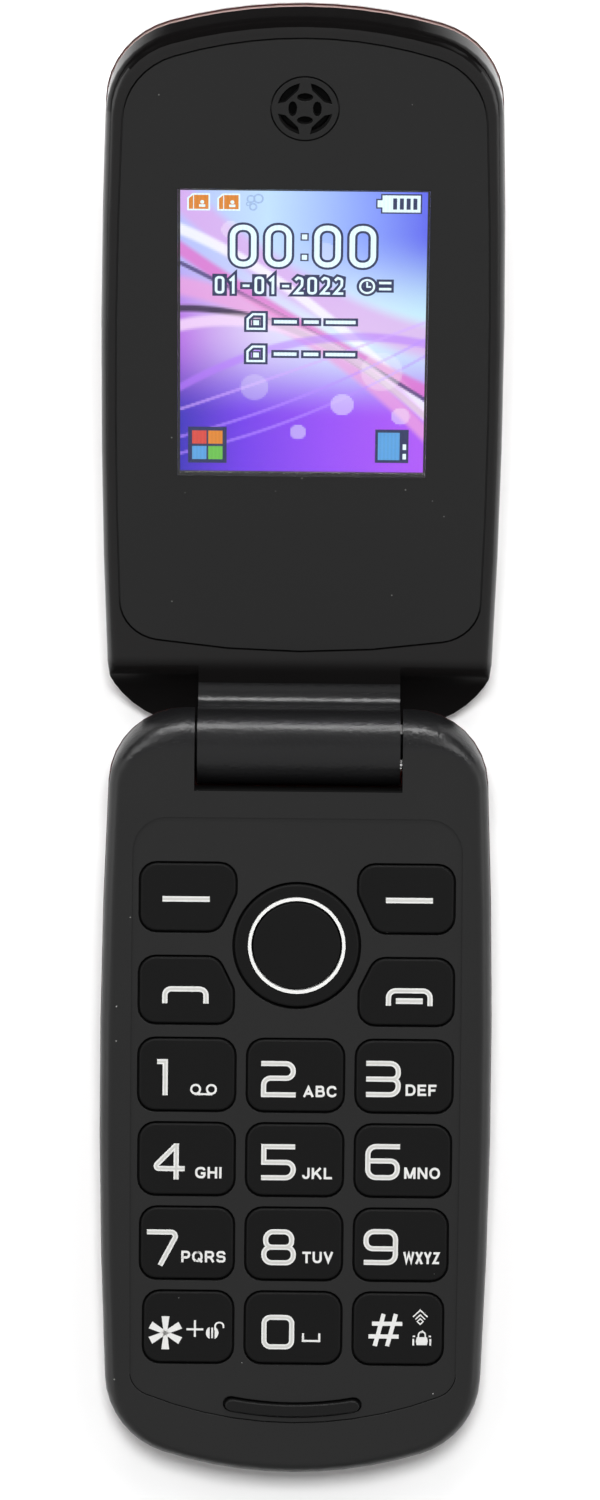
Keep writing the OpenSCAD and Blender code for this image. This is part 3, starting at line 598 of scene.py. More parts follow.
# Sintered bronze of the hinge's cam: brown and dull.
BRONZE = Metal("sintered_bronze", "#a97f4a", 0.4)
# Woven dust screen behind the earpiece slots: black, with hardly any shine.
DUST_SCREEN = MouldedPlastic("black_woven_dust_screen", "#060606", 0.9, 1.4, grain=0.12, depth=0.02)

# The display's background: blue above, purple below, with pink and white ribbons.
PICTURE = LitPicture(
    "lit_display_picture",
    "#8f8fff",
    0.3,
    strength=1.12,
    wash=(
        ((0.0, "#2c18b4"), (0.25, "#6a2ae2"), (0.6, "#9040f0"), (1.0, "#a84cf0")),
        ((0.0, "#b46ee0"), (0.35, "#dcd4f6"), (0.7, "#d8f2fa"), (1.0, "#c4ecf6")),
        ((0.0, "#b0bcf6"), (0.35, "#bcdcfb"), (0.7, "#8aa4fa"), (1.0, "#5660e8")),
    ),
    blends=((0.18, 0.52), (0.5, 0.86)),
    ribbons=(
        Ribbon(0.97, -0.80, 0.30, 0.09, "#d9a0e6", 0.75),
        Ribbon(0.86, -0.35, -0.28, 0.03, "#f6f6ff", 0.8),
        Ribbon(0.79, -0.60, 0.10, 0.04, "#d868c8", 0.85),
        Ribbon(0.74, -0.42, -0.06, 0.012, "#3c2a70", 0.9),
        Ribbon(0.66, -0.16, -0.36, 0.05, "#e79ad8", 0.75),
        Ribbon(0.58, 0.02, -0.40, 0.018, "#240a3a", 0.95),
        Ribbon(0.52, 0.20, -0.52, 0.03, "#f4d8f6", 0.75),
        Ribbon(0.30, 0.50, -0.34, 0.022, "#b070f6", 0.6),
        Ribbon(0.22, 0.30, 0.02, 0.008, "#cfa6ff", 0.5),
        Ribbon(0.12, 0.24, 0.12, 0.008, "#b488ff", 0.5),
        Ribbon(0.06, 0.20, 0.16, 0.008, "#b488ff", 0.5),
    ),
    rings=(
        (0.82, 0.36, 0.09, 0.22), (0.66, 0.24, 0.05, 0.3), (0.3, 0.3, 0.06, 0.18), (0.48, 0.14, 0.035, 0.3),
        (0.9, 0.2, 0.04, 0.3), (0.2, 0.86, 0.04, 0.25), (0.58, 0.78, 0.05, 0.2),
    ),
)
# Lit signs on the display, each in its plain colour.
PALE_GLOW = Glow("lit_pale_cyan", "#e2f8ff", strength=1.2)
NAVY_GLOW = Glow("lit_navy_outline", "#1c2a5c")
ORANGE_GLOW = Glow("lit_orange", "#e88a1e")
BLUE_GLOW = Glow("lit_book_blue", "#58a8ea")
RED_GLOW = Glow("lit_red", "#e0483c")
GREEN_GLOW = Glow("lit_green", "#6cc84a")
DIM_GLOW = Glow("lit_faint_blue", "#a8c8f4")


# ---------------------------------------------------------------- the bench

MERGE = 0.002  # mm within which corners of a CAD mesh are one
LEVEL = 0.02  # mm within which an edge lies at one height
FLAT = math.radians(0.06)  # up to which two faces of a CAD mesh are one
SMOOTH = math.radians(35.0)  # up to which an edge is shaded smooth
CORNER = math.radians(60.0)  # from which an edge is a corner and not part of a curve


def only(piece: bpy.types.Object) -> None:
    """Selects one piece alone and makes it active."""
    bpy.ops.object.select_all(action="DESELECT")
    piece.select_set(True)
    bpy.context.view_layer.objects.active = piece


@contextmanager
def editing(piece: bpy.types.Object, action: str = "DESELECT") -> Iterator[None]:
    """Opens a piece in edit mode with nothing or, for SELECT, everything selected, and closes it again."""
    only(piece)
    bpy.ops.object.mode_set(mode="EDIT")
    bpy.ops.mesh.select_all(action=action)
    yield
    bpy.ops.object.mode_set(mode="OBJECT")


def pick(piece: bpy.types.Object, part: Part, test: Test) -> int:
    """Selects corners, edges or faces of a piece in edit mode.

    Args:
        piece: the piece that is open.
        part: what to select.
        test: tells whether one is wanted.

    Returns:
        How many are selected.
    """
    bpy.ops.mesh.select_mode(type=part.value)
    bpy.ops.mesh.select_all(action="DESELECT")
    mesh = bmesh.from_edit_mesh(piece.data)
    every = {Part.VERTS: mesh.verts, Part.EDGES: mesh.edges, Part.FACES: mesh.faces}[part]
    wanted = [item for item in every if test(item)]
    for item in wanted:
        item.select_set(True)
    mesh.select_flush_mode()
    bmesh.update_edit_mesh(piece.data)
    return len(wanted)


def soften(piece: bpy.types.Object, test: Test, width: float, segments: int) -> None:
    """Rounds chosen edges of a piece.

    Args:
        piece: the piece, in mm.
        test: tells whether an edge is rounded.
        width: radius in mm.
        segments: faces across the rounding.
    """
    with editing(piece):
        if pick(piece, Part.EDGES, test):
            how = {"offset_type": "OFFSET", "profile": 0.5, "affect": "EDGES", "clamp_overlap": True}
            bpy.ops.mesh.bevel(offset=width, segments=segments, **how)


def rim_at(height: float, also: Test = lambda edge: True) -> Test:
    """Makes a test for the corner edges that lie all at one height.

    Args:
        height: that height in mm.
        also: a further test that such an edge has to pass.

    Returns:
        The test.
    """
    return lambda edge: (
        all(abs(v.co.z - height) < LEVEL for v in edge.verts)
        and len(edge.link_faces) == 2
        and edge.calc_face_angle(0.0) > CORNER
        and also(edge)
    )


def thicken(depth: float) -> None:
    """Turns the sheet that is open in edit mode into a plate that many mm thick, with its faces outwards."""
    bpy.ops.mesh.select_all(action="SELECT")
    bpy.ops.mesh.extrude_region_move(TRANSFORM_OT_translate={"value": (0, 0, -depth)})
    bpy.ops.mesh.select_all(action="SELECT")
    bpy.ops.mesh.normals_make_consistent(inside=False)


def added(name: str, data: Any) -> bpy.types.Object:
    """Puts a mesh, a lamp or a camera into the scene under a name, and returns the new object."""
    thing = bpy.data.objects.new(name, data)
    bpy.context.scene.collection.objects.link(thing)
    return thing


def formed(
    name: str, form: Callable[..., Any], scale: Spot = (1.0, 1.0, 1.0), **settings: Any
) -> bpy.types.Object:
    """Adds a primitive as a new piece, with its place and its size in the mesh.

    Args:
        name: the piece's name.
        form: the operator that adds the primitive.
        scale: how far it is stretched along each axis.
        **settings: the operator's own settings.

    Returns:
        The piece.
    """
    bpy.ops.object.select_all(action="DESELECT")
    form(**settings)
    piece = bpy.context.active_object
    piece.name = name
    piece.scale = scale
    bpy.ops.object.transform_apply(location=True, rotation=True, scale=True)
    return piece


def joined(name: str, pieces: Sequence[bpy.types.Object]) -> bpy.types.Object:
    """Joins pieces into the first one and names it."""
    only(pieces[0])
    for piece in pieces:
        piece.select_set(True)
    bpy.ops.object.join()
    pieces[0].name = name
    return pieces[0]


@dataclass(frozen=True)
class Half:
    """One half of the telephone, in whose frame its pieces are modelled.

    Attributes:
        frame: the loaded frame.
        body: the body that its pieces ride on.
        to_row: takes mm in this half's frame to metres in the row frame.
    """

    frame: dict[str, Any]
    body: str
    to_row: Matrix

    def copy_of(self, node: str, name: str) -> bpy.types.Object:
        """Copies a CAD node's mesh into a new piece in mm, merged and with its flat faces whole.

        Args:
            node: the CAD node.
            name: the new piece's name.

        Returns:
            The new piece.
        """
        mesh = self.frame["nodes"][node].data.copy()
        mesh.name = name
        mesh.materials.clear()
        mesh.transform(self.to_row.inverted())
        piece = added(name, mesh)
        only(piece)
        if mesh.has_custom_normals:
            bpy.ops.mesh.customdata_custom_splitnormals_clear()
        with editing(piece, "SELECT"):
            bpy.ops.mesh.remove_doubles(threshold=MERGE)
            bpy.ops.mesh.dissolve_limited(angle_limit=FLAT)
        return piece

    def fasten(
        self, piece: bpy.types.Object, slot: Slot, finishes: Sequence[Finish], *nodes: str, body: str = ""
    ) -> None:
        """Smooths a piece, paints it, places it in the row frame and joins it to its body.

        Args:
            piece: the piece, in mm.
            slot: the record's slot; not used.
            finishes: its finishes, in the order of its material numbers.
            *nodes: CAD nodes that it stands for.
            body: the body that it rides on, if not this half's own.
        """
        body = body or self.body
        only(piece)
        for finish in finishes:
            piece.data.materials.append(finish.material())
        bpy.ops.object.shade_smooth_by_angle(angle=SMOOTH)
        bpy.ops.object.modifier_add(type="WEIGHTED_NORMAL")
        piece.modifiers[-1].keep_sharp = True
        bpy.ops.object.modifier_apply(modifier=piece.modifiers[-1].name)
        piece.data.transform(self.to_row)
        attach(piece, body)
        if nodes:
            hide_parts(*nodes)
        LOG.info("%s: %d faces on %s", piece.name, len(piece.data.polygons), body)

    def clad(
        self, node: str, name: str, slot: Slot, finish: Finish, height: float, width: float,
        segments: int = 2, body: str = "",
    ) -> None:
        """Builds a piece that stands for a CAD node, with soft edges round its face.

        Args:
            node: the CAD node.
            name: the piece's name.
            slot: the record's slot, passed on to fasten.
            finish: its finish.
            height: height of the face in mm.
            width: radius of its edges in mm.
            segments: faces across the rounding.
            body: the body that it rides on, if not this half's own.
        """
        piece = self.copy_of(node, name)
        soften(piece, rim_at(height), width, segments)
        self.fasten(piece, slot, (finish,), node, body=body)


def read_halves(frame: dict[str, Any]) -> tuple[Half, Half]:
    """Works out both halves' frames from the hinge and the way a key goes down.

    Args:
        frame: the loaded frame.

    Returns:
        The base and the lid.
    """
    joints = {joint["name"]: joint for joint in frame["joints"]}
    hinge = joints["lid_hinge"]
    down = Vector(joints["key_5_press"]["axis"])
    lean = math.atan2(down.y, -down.z)
    fold = math.radians(180 - hinge["range_deg"][1])
    at, small = Matrix.Translation(Vector(hinge["pos_m"])), Matrix.Scale(1 / MM, 4)
    turns = (("base", lean), ("lid", lean + fold))
    base, lid = (Half(frame, body, at @ Matrix.Rotation(turn, 4, "X") @ small) for body, turn in turns)
    return base, lid


# ---------------------------------------------------------------- printing

ARC_STEP = 15  # degrees between two points of a rounded corner
MITRE = 0.35  # below which a mitred corner's cosine isn't taken, so that it stays short
INK_MERGE = 0.0002  # mm within which corners of the ink are one
SINK = 1.5  # how deep the ink reaches, as a share of its thickness
CORE = 0.42  # width of a line's darker middle, as a share
LAYER = 0.0006  # mm by which each line lies over the one before
CORE_LIFT = 0.004  # mm by which the darker middle lies over its line
PLATE_SHARE = 0.6  # of an outline's width that a filled shape grows
LETTER_LINE = 0.2  # width of a capital's lines, where its height is 1
LETTER_GAP = 0.17  # between two capitals


@dataclass(frozen=True)
class Stroke:
    """A line of even width, in mm from its mark's lower left corner.

    Attributes:
        points: its points.
        width: its width.
        closed: whether it runs back to its start.
    """

    points: Line
    width: float = 0.6
    closed: bool = False

    def path(self) -> list[Vector]:
        """Rounds the corners and returns the line's points."""
        count = len(self.points)
        path: list[Vector] = []
        for i, (x, y, *rounded) in enumerate(self.points):
            here = Vector((x, y))
            radius = rounded[0] if rounded else 0.0
            if not self.closed and i in (0, count - 1) or radius < self.width / 2:
                path.append(here)
                continue
            back = (Vector(self.points[i - 1][:2]) - here).normalized()
            ahead = (Vector(self.points[(i + 1) % count][:2]) - here).normalized()
            half = back.angle(ahead) / 2
            centre = here + (back + ahead).normalized() * radius / math.sin(half)
            start = here + back * radius / math.tan(half) - centre
            turn = start.angle_signed(here + ahead * radius / math.tan(half) - centre)
            steps = max(2, round(math.degrees(abs(turn)) / ARC_STEP))
            path += [centre + Matrix.Rotation(-turn * k / steps, 2) @ start for k in range(steps + 1)]
        return path

    def sides(self, width: float) -> tuple[list[Vector], list[Vector]]:
        """Offsets the line to both sides, with mitred corners.

        Args:
            width: width between both sides.

        Returns:
            The points of the left and of the right side.
        """
        path = self.path()
        count = len(path)
        left: list[Vector] = []
        right: list[Vector] = []
        for i, here in enumerate(path):
            before = path[i - 1] if self.closed or i > 0 else None
            after = path[(i + 1) % count] if self.closed or i < count - 1 else None
            into = (here - before).normalized() if before is not None else (after - here).normalized()
            out = (after - here).normalized() if after is not None else into
            along = (into + out).normalized()
            reach = width / 2 / max(MITRE, along.dot(into))
            normal = Vector((-along.y, along.x)) * reach
            left.append(here + normal)
            right.append(here - normal)
        return left, right

    def grown(self, by: float) -> Stroke:
        """Returns the line made wider by so many mm on each side and at its open ends."""
        points = list(self.points)
        if by > 0 and not self.closed:
            for tip, inner in ((0, 1), (-1, -2)):
                end = Vector(self.points[tip][:2])
                points[tip] = tuple(end + (end - Vector(self.points[inner][:2])).normalized() * by)
        return Stroke(tuple(points), self.width + 2 * by, self.closed)


@dataclass(frozen=True)
class Mark:
    """A printed sign.

    Attributes:
        at: place of its lower left corner on the piece in mm.
        strokes: its lines.
        plates: its filled shapes.
        core: whether its lines have a thinner, darker middle.
    """

    at: Point
    strokes: tuple[Stroke, ...] = ()
    plates: tuple[Line, ...] = ()
    core: bool = False

    def moved(self, x: float, y: float) -> Mark:
        """Returns the sign moved by so many mm."""
        return replace(self, at=(self.at[0] + x, self.at[1] + y))

    def grown(self, by: float) -> Mark:
        """Returns the sign made wider by so many mm all round, as its outline."""
        plates, far = [], by * PLATE_SHARE
        for ring in self.plates:
            mid = sum((Vector(p) for p in ring), Vector((0, 0))) / len(ring)
            spread = ((x + math.copysign(far, x - mid.x), y + math.copysign(far, y - mid.y)) for x, y in ring)
            plates.append(tuple(spread))
        return replace(self, strokes=tuple(s.grown(by) for s in self.strokes), plates=tuple(plates))


def print_marks(name: str, marks: Sequence[Mark], height: float, thick: float = 0.012) -> bpy.types.Object:
    """Makes the printing of one piece: a thin raised layer of ink.

    Args:
        name: the new piece's name.
        marks: the signs.
        height: height of the printed face in mm.
        thick: thickness of the ink in mm.

    Returns:
        The new piece, in mm.
    """
    points: list[Spot] = []
    faces: list[list[int]] = []
    inks: list[int] = []

    def add(ring: Sequence[Vector], z: float, ink: int) -> None:
        """Adds one face with a ring of corners of its own."""
        faces.append(list(range(len(points), len(points) + len(ring))))
        points.extend((p.x, p.y, z) for p in ring)
        inks.append(ink)

    step = 0
    for mark in marks:
        at = Vector(mark.at)
        for ring in mark.plates:
            add([at + Vector(p) for p in ring], height + thick, 0)
        for stroke in mark.strokes:
            for ink, share in ((0, 1.0), (1, CORE)) if mark.core else ((0, 1.0),):
                left, right = stroke.sides(stroke.width * share)
                count = len(left)
                z = height + thick + LAYER * step + CORE_LIFT * ink
                step += 1
                for i in range(count if stroke.closed else count - 1):
                    j = (i + 1) % count
                    add([at + right[i], at + right[j], at + left[j], at + left[i]], z, ink)
    mesh = bpy.data.meshes.new(name)
    mesh.from_pydata(points, [], faces)
    mesh.polygons.foreach_set("material_index", inks)
    piece = added(name, mesh)
    with editing(piece, "SELECT"):
        bpy.ops.mesh.remove_doubles(threshold=INK_MERGE)
        thicken(thick * SINK)
    return piece


def box(x0: float, y0: float, x1: float, y1: float, *radius: float) -> Line:
    """The corners of a rectangle, with their radius if they are rounded."""
    return tuple((x, y, *radius) for x, y in ((x0, y0), (x1, y0), (x1, y1), (x0, y1)))


def circle(x: float, y: float, radius: float, width: float) -> Stroke:
    """A printed circle line."""
    return Stroke(box(x - radius, y - radius, x + radius, y + radius, radius * 0.999), width, True)


def disc(x: float, y: float, radius: float) -> Line:
    """A filled circle of twenty points."""
    turns = [math.tau * k / 20 for k in range(20)]
    return tuple((x + radius * math.cos(t), y + radius * math.sin(t)) for t in turns)


def bars(width: float, *ends: tuple[float, float, float, float]) -> tuple[Stroke, ...]:
    """Straight lines of one width, each from one x and y to another."""
    return tuple(Stroke(((x0, y0), (x1, y1)), width) for x0, y0, x1, y1 in ends)


BOWL = box(0.1, 0.1, 0.82, 0.9, 0.36)
# Plain bold capitals one unit high: each letter's width, then its lines. A line that ends where it starts
# is closed.
CAPITALS: dict[str, tuple[Any, ...]] = {
    "A": (0.96, ((0.09, 0), (0.48, 0.84), (0.87, 0)), ((0.25, 0.3), (0.71, 0.3))),
    "B": (
        0.82, ((0.1, 0.1), (0.72, 0.1, 0.2), (0.72, 0.53, 0.2), (0.1, 0.53), (0.1, 0.1)),
        ((0.1, 0.53), (0.65, 0.53, 0.17), (0.65, 0.9, 0.17), (0.1, 0.9), (0.1, 0.53)),
    ),
    "C": (
        0.86,
        ((0.76, 0.68), (0.76, 0.9, 0.2), (0.1, 0.9, 0.34), (0.1, 0.1, 0.34), (0.76, 0.1, 0.2), (0.76, 0.32)),
    ),
    "D": (0.84, ((0.1, 0.1), (0.74, 0.1, 0.34), (0.74, 0.9, 0.34), (0.1, 0.9), (0.1, 0.1))),
    "E": (0.74, ((0.72, 0.9), (0.1, 0.9), (0.1, 0.1), (0.74, 0.1)), ((0.1, 0.52), (0.66, 0.52))),
    "F": (0.68, ((0.68, 0.9), (0.1, 0.9), (0.1, 0)), ((0.1, 0.49), (0.6, 0.49))),
    "G": (
        0.9, ((0.78, 0.7), (0.78, 0.9, 0.2), (0.1, 0.9, 0.34), (0.1, 0.1, 0.34), (0.8, 0.1, 0.22),
              (0.8, 0.44), (0.5, 0.44)),
    ),
    "H": (0.82, ((0.1, 0), (0.1, 1)), ((0.72, 0), (0.72, 1)), ((0.1, 0.52), (0.72, 0.52))),
    "I": (0.2, ((0.1, 0), (0.1, 1))),
    "J": (0.64, ((0.54, 1), (0.54, 0.1, 0.22), (0.1, 0.1, 0.22), (0.1, 0.36))),
    "K": (0.84, ((0.1, 0), (0.1, 1)), ((0.74, 0.98), (0.14, 0.36)), ((0.36, 0.58), (0.78, 0.02))),
    "L": (0.7, ((0.1, 1), (0.1, 0.1), (0.7, 0.1))),
    "M": (
        0.98, ((0.1, 0), (0.1, 1)), ((0.88, 0), (0.88, 1)), ((0.13, 0.93), (0.47, 0.06)),
        ((0.85, 0.93), (0.51, 0.06)),
    ),
    "N": (0.84, ((0.1, 0), (0.1, 1)), ((0.74, 0), (0.74, 1)), ((0.13, 0.93), (0.71, 0.07))),
    "O": (0.92, (*BOWL, BOWL[0])),
    "P": (0.78, ((0.1, 0), (0.1, 0.9), (0.68, 0.9, 0.22), (0.68, 0.42, 0.22), (0.1, 0.42))),
    "Q": (0.94, (*BOWL, BOWL[0]), ((0.52, 0.34), (0.88, 0.03))),
    "R": (
        0.84, ((0.1, 0), (0.1, 0.9), (0.7, 0.9, 0.2), (0.7, 0.46, 0.2), (0.1, 0.46)),
        ((0.46, 0.46), (0.76, 0.02)),
    ),
    "S": (
        0.8, ((0.68, 0.7), (0.68, 0.9, 0.18), (0.1, 0.9, 0.2), (0.1, 0.51, 0.19), (0.7, 0.51, 0.2),
              (0.7, 0.1, 0.2), (0.1, 0.1, 0.18), (0.1, 0.3)),
    ),
    "T": (0.78, ((0, 0.9), (0.78, 0.9)), ((0.39, 0), (0.39, 0.9))),
    "U": (0.84, ((0.1, 1), (0.1, 0.1, 0.3), (0.74, 0.1, 0.3), (0.74, 1))),
    "V": (0.88, ((0.09, 1), (0.44, 0.16), (0.79, 1))),
    "W": (1.22, ((0.08, 1), (0.33, 0.16), (0.61, 0.86), (0.89, 0.16), (1.14, 1))),
    "X": (0.86, ((0.09, 1), (0.77, 0)), ((0.09, 0), (0.77, 1))),
    "Y": (0.86, ((0.08, 1), (0.43, 0.46), (0.78, 1)), ((0.43, 0.5), (0.43, 0))),
    "Z": (0.76, ((0.06, 0.9), (0.66, 0.9), (0.1, 0.1), (0.74, 0.1))),
}


def word(text: str, low: Point, size: Point, width: float = 0.27) -> Mark:
    """Draws a group of plain bold capitals that fills a given box.

    Args:
        text: the letters.
        low: the box's lower left corner in mm.
        size: its width and height in mm.
        width: width of the lines in mm.

    Returns:
        The mark.
    """
    total = sum(CAPITALS[sign][0] for sign in text) + LETTER_GAP * (len(text) - 1)
    across, up = (size[0] - width) / (total - LETTER_LINE), (size[1] - width) / (1 - LETTER_LINE)
    strokes: list[Stroke] = []
    start = -LETTER_LINE / 2
    for sign in text:
        wide, *lines = CAPITALS[sign]
        for line in lines:
            points = []
            for x, y, *radius in line:
                right = width / 2 + (start + x) * across
                high = 0.0 if y == 0 else size[1] if y == 1 else width / 2 + (y - LETTER_LINE / 2) * up
                points.append((right, high, *(r * min(across, up) for r in radius)))
            closed = line[0] == line[-1]
            strokes.append(Stroke(tuple(points[:-1] if closed else points), width, closed))
        start += wide + LETTER_GAP
    return Mark(low, tuple(strokes))


def digit(sign: str) -> tuple[Stroke, ...]:
    """Draws a keypad digit 4.05 mm wide and 4.3 mm high, with squared round shapes.

    Args:
        sign: the digit.

    Returns:
        Its lines.
    """
    s, w, h = 0.3, 3.75, 4.0  # middle of the lines at the left and the foot, at the right, and at the top
    lines: dict[str, tuple[Line, ...]] = {
        "0": (box(s, s, 3.55, 3.83, 0.75),),
        "1": (((0, h), (0.95, h, 0.04), (0.95, 0)),),
        "2": (((0, h), (w, h, 0.88), (w, 2.26, 0.82), (s, 2.26, 0.82), (s, s), (w + s, s)),),
        "3": (
            ((0, h), (w, h, 0.95), (w, 2.13, 0.7), (0, 2.13)),
            ((0.5, 2.13), (w, 2.13, 0.7), (w, s, 0.95), (0, s)),
        ),
        "4": (((3.05, 0), (3.05, 4.3)), ((2.98, 4.05), (0.3, 1.3, 0.3), (w + s, 1.3))),
        "5": (((w + s - 0.1, h), (s, h, 0.04), (s, 2.13, 0.04), (w, 2.13, 0.8), (w, s, 0.95), (0, s)),),
        "6": (((w + s, h), (s, h, 0.95), (s, s, 0.95), (w, s, 0.95), (w, 2.28, 0.8), (0.5, 2.28)),),
        "7": (((0, h), (w - 0.1, h, 0.5), (1.55, 0)),),
        "8": (
            ((0.5, 2.15, 0.75), (w - 0.2, 2.15, 0.75), (w - 0.2, h, 0.9), (0.5, h, 0.9)),
            ((s, s, 0.9), (w, s, 0.9), (w, 2.15, 0.8), (s, 2.15, 0.8)),
        ),
        "9": (((0.05, s), (w, s, 0.95), (w, h, 0.95), (s, h, 0.95), (s, 1.95, 0.8), (w - 0.2, 1.95)),),
    }
    return tuple(Stroke(points, closed=sign in "08") for points in lines[sign])


# ---------------------------------------------------------------- the lid

# One printed piece of the picture: its name, finish and signs, how far these grow as an outline, and how high
# they lie, in mm.
Group = tuple[str, Finish, list[Mark], float, float]


@dataclass
class Lid:
    """The half with the display.

    Attributes:
        half: its frame.
        face: height of its face in mm.
        seat: height of the display panel's seat.
        parting: height of the line between the casing and the outer shell.
        rim_width: how wide the painted highlight line along that line is.
        rim_y: where that painted highlight line begins, from the hinge axis.
        end_y: where the lid's end begins, whose sides take the painted dark reflection.
        neck: half width of the textured barrel and neck.
        neck_y: where their texture ends.
        picture_size: width and height of the lit picture.
        picture_y: its middle, from the hinge axis.
        picture_depth: how far it lies under the seat.
        signs_depth: the same for the signs over it.
        date_y: foot of the date and the signs in its row, from the picture's middle.
        battery_at: lower left corner of the battery's sign, from there.
        grid_at: the same for the grid of four colours.
        book_at: the same for the book.
        ear_y: the earpiece's middle, from the hinge axis.
        screen_radius: radius of the dust screen behind it.
        screen_depth: how far that lies under the seat.
    """

    half: Half
    face: float = -5.0
    seat: float = -5.8
    parting: float = -10.0
    rim_width: float = 0.75
    rim_y: float = 9.0
    end_y: float = 74.0
    neck: float = 11.9
    neck_y: float = 6.3
    picture_size: Point = (27.95, 34.7)
    picture_y: float = 50.0
    picture_depth: float = 0.07
    signs_depth: float = 0.068
    date_y: float = 4.75
    battery_at: Point = (8.3, 14.9)
    grid_at: Point = (-12.9, -16.2)
    book_at: Point = (8.6, -16.0)
    ear_y: float = 77.5
    screen_radius: float = 2.9
    screen_depth: float = 0.3

    def build(self) -> None:
        """Builds every piece of the lid."""
        self.casing()
        for node, name, slot, finish, width, segments in (
            ("lid_cover", "lid_outer_shell", Slot.WINE, WINE_LACQUER, 0.0, 1),
            ("display_panel", "display_surround", Slot.BLACK, PANEL_ACRYLIC, 0.07, 2),
            ("display_window", "picture_window", Slot.WINDOW, CLEAR_ACRYLIC, 0.05, 2),
            ("earpiece_grille", "earpiece_insert", Slot.BLACK, GRILLE_ABS, 0.09, 3),
        ):
            self.half.clad(node, name, slot, finish, self.face, width, segments)
        self.dust_screen()
        self.picture()
        self.picture_signs()

    def casing(self) -> None:
        """Builds the inner casing with neck and barrel, each part with its own finish: painted shade round
        the knuckles, a painted dark reflection round the end, and a painted highlight line along the rim.
        """
        piece = self.half.copy_of("lid_frame", "lid_casing")
        brink = self.parting + self.rim_width
        with editing(piece):
            rim_y = self.rim_y
            # The outward faces past rim_y are cut just above the parting line, so that the band below it can
            # take the painted highlight line.
            pick(piece, Part.FACES, lambda f: self.outward(f.normal) and f.calc_center_median().y > rim_y)
            bpy.ops.mesh.bisect(plane_co=(0, 0, brink), plane_no=(0, 0, 1))
        for face in piece.data.polygons:
            x, y, z = face.center
            side = self.outward(face.normal)
            hinge = y < self.neck_y and abs(x) < self.neck
            rim = side and y > self.rim_y and z < brink
            end = side and y > self.end_y
            # Barrel and neck take the textured finish; the band along the parting the painted highlight line;
            # the end's sides the painted dark reflection; the rest the polish with painted shade round the
            # knuckles.
            face.material_index = 1 if hinge else 3 if rim else 2 if end else 0
        self.half.fasten(piece, Slot.BLACK, (GLOSS_ABS, BARREL_ABS, END_ABS, RIM_HIGHLIGHT), "lid_frame")

    @staticmethod
    def outward(normal: Vector) -> bool:
        """Tells whether a face of the lid's sides or end looks away from its middle."""
        return normal.y > 0.3 or abs(normal.x) > 0.5

    def dust_screen(self) -> None:
        """Builds the dust screen behind the earpiece's slots."""
        screen = formed(
            "earpiece_dust_screen", bpy.ops.mesh.primitive_circle_add, vertices=48, fill_type="NGON",
            radius=self.screen_radius, location=(0, self.ear_y, self.seat - self.screen_depth),
        )
        with editing(screen, "SELECT"):
            bpy.ops.mesh.inset(thickness=0.25)
            bpy.ops.transform.translate(value=(0, 0, 0.1))
            thicken(0.12)
        self.half.fasten(screen, Slot.RESIN, (DUST_SCREEN,))

    def picture(self) -> None:
        """Builds the lit picture, just over the display cell, with its UV map."""
        wide, high = self.picture_size
        piece = formed(
            "lit_picture", bpy.ops.mesh.primitive_plane_add, (wide, high, 1), size=1,
            location=(0, self.picture_y, self.seat - self.picture_depth),
        )
        with editing(piece, "SELECT"):
            bpy.ops.mesh.subdivide(number_cuts=7)
            thicken(0.02)
        mesh = piece.data
        while mesh.uv_layers:
            mesh.uv_layers.remove(mesh.uv_layers[0])
        layer = mesh.uv_layers.new(name="picture")
        for loop in mesh.loops:
            spot = mesh.vertices[loop.vertex_index].co
            layer.data[loop.index].uv = (spot.x / wide + 0.5, (spot.y - self.picture_y) / high + 0.5)
        self.half.fasten(piece, Slot.CELL, (PICTURE,))

    def picture_signs(self) -> None:
        """Builds the clock, the date and the plain signs over the lit picture."""
        for name, finish, marks, grow, rise in self.writing() + self.top_signs() + self.corner_signs():
            shown = [mark.grown(grow).moved(0.0, self.picture_y) for mark in marks]
            piece = print_marks("picture_" + name, shown, self.seat - self.signs_depth + rise, 0.006)
            self.half.fasten(piece, Slot.CELL, (finish,))

    def writing(self) -> list[Group]:
        """The clock, the date, two rows of cards with dashes, and the battery: white with a dark outline."""
        tube = Stroke(box(0.75, 0.6, 3.15, 5.1, 1.1), 0.62, True)
        clock = [Mark((x, 7.8), (tube,)) for x in (-8.8, -4.8, 0.75, 4.75)]
        clock.append(Mark((-0.4, 7.8), plates=(box(0.2, 1.2, 0.8, 1.8), box(0.2, 3.7, 0.8, 4.3))))
        date = [self.small_digit(sign, -10.1 + 1.5 * i) for i, sign in enumerate("01-01-2022")]
        hands = Stroke(((1.05, 1.6), (1.05, 1.0, 0.02), (1.5, 1.0)), 0.2)
        date.append(Mark((6.2, self.date_y), (circle(1.05, 1.05, 0.8, 0.24), hands)))
        date.append(Mark((8.6, self.date_y), bars(0.3, (0, 0.75, 1.4, 0.75), (0, 1.5, 1.4, 1.5))))
        sheet = ((0, 0.2), (1.9, 0.2), (1.9, 2.0), (0.6, 2.0), (0, 1.4))
        card = Stroke(tuple((*p, 0.1) for p in sheet), 0.26, True)
        dashes = bars(0.42, *((x, 1.1, x + w, 1.1) for x, w in ((3.0, 2.6), (6.4, 1.7), (8.9, 3.4))))
        rows = [Mark((-6.3, y), (card, *dashes), (box(0.65, 0.65, 1.3, 1.25),)) for y in (0.25, -3.75)]
        grid = Mark(self.grid_at, plates=(box(0, 0, 4.1, 4.2),))
        book = Mark(self.book_at, plates=(box(0, 0, 2.75, 3.85), box(2.9, 0, 3.5, 3.85)))
        battery = Mark(self.battery_at, plates=(box(0.55, 0, 4.85, 2.05), box(0, 0.6, 0.55, 1.45)))
        white = clock + date + rows
        return [
            ("outlines", NAVY_GLOW, [*white, grid, book, battery], 0.28, 0.0),
            ("writing", PALE_GLOW, [*white, battery], 0.0, 0.014),
        ]

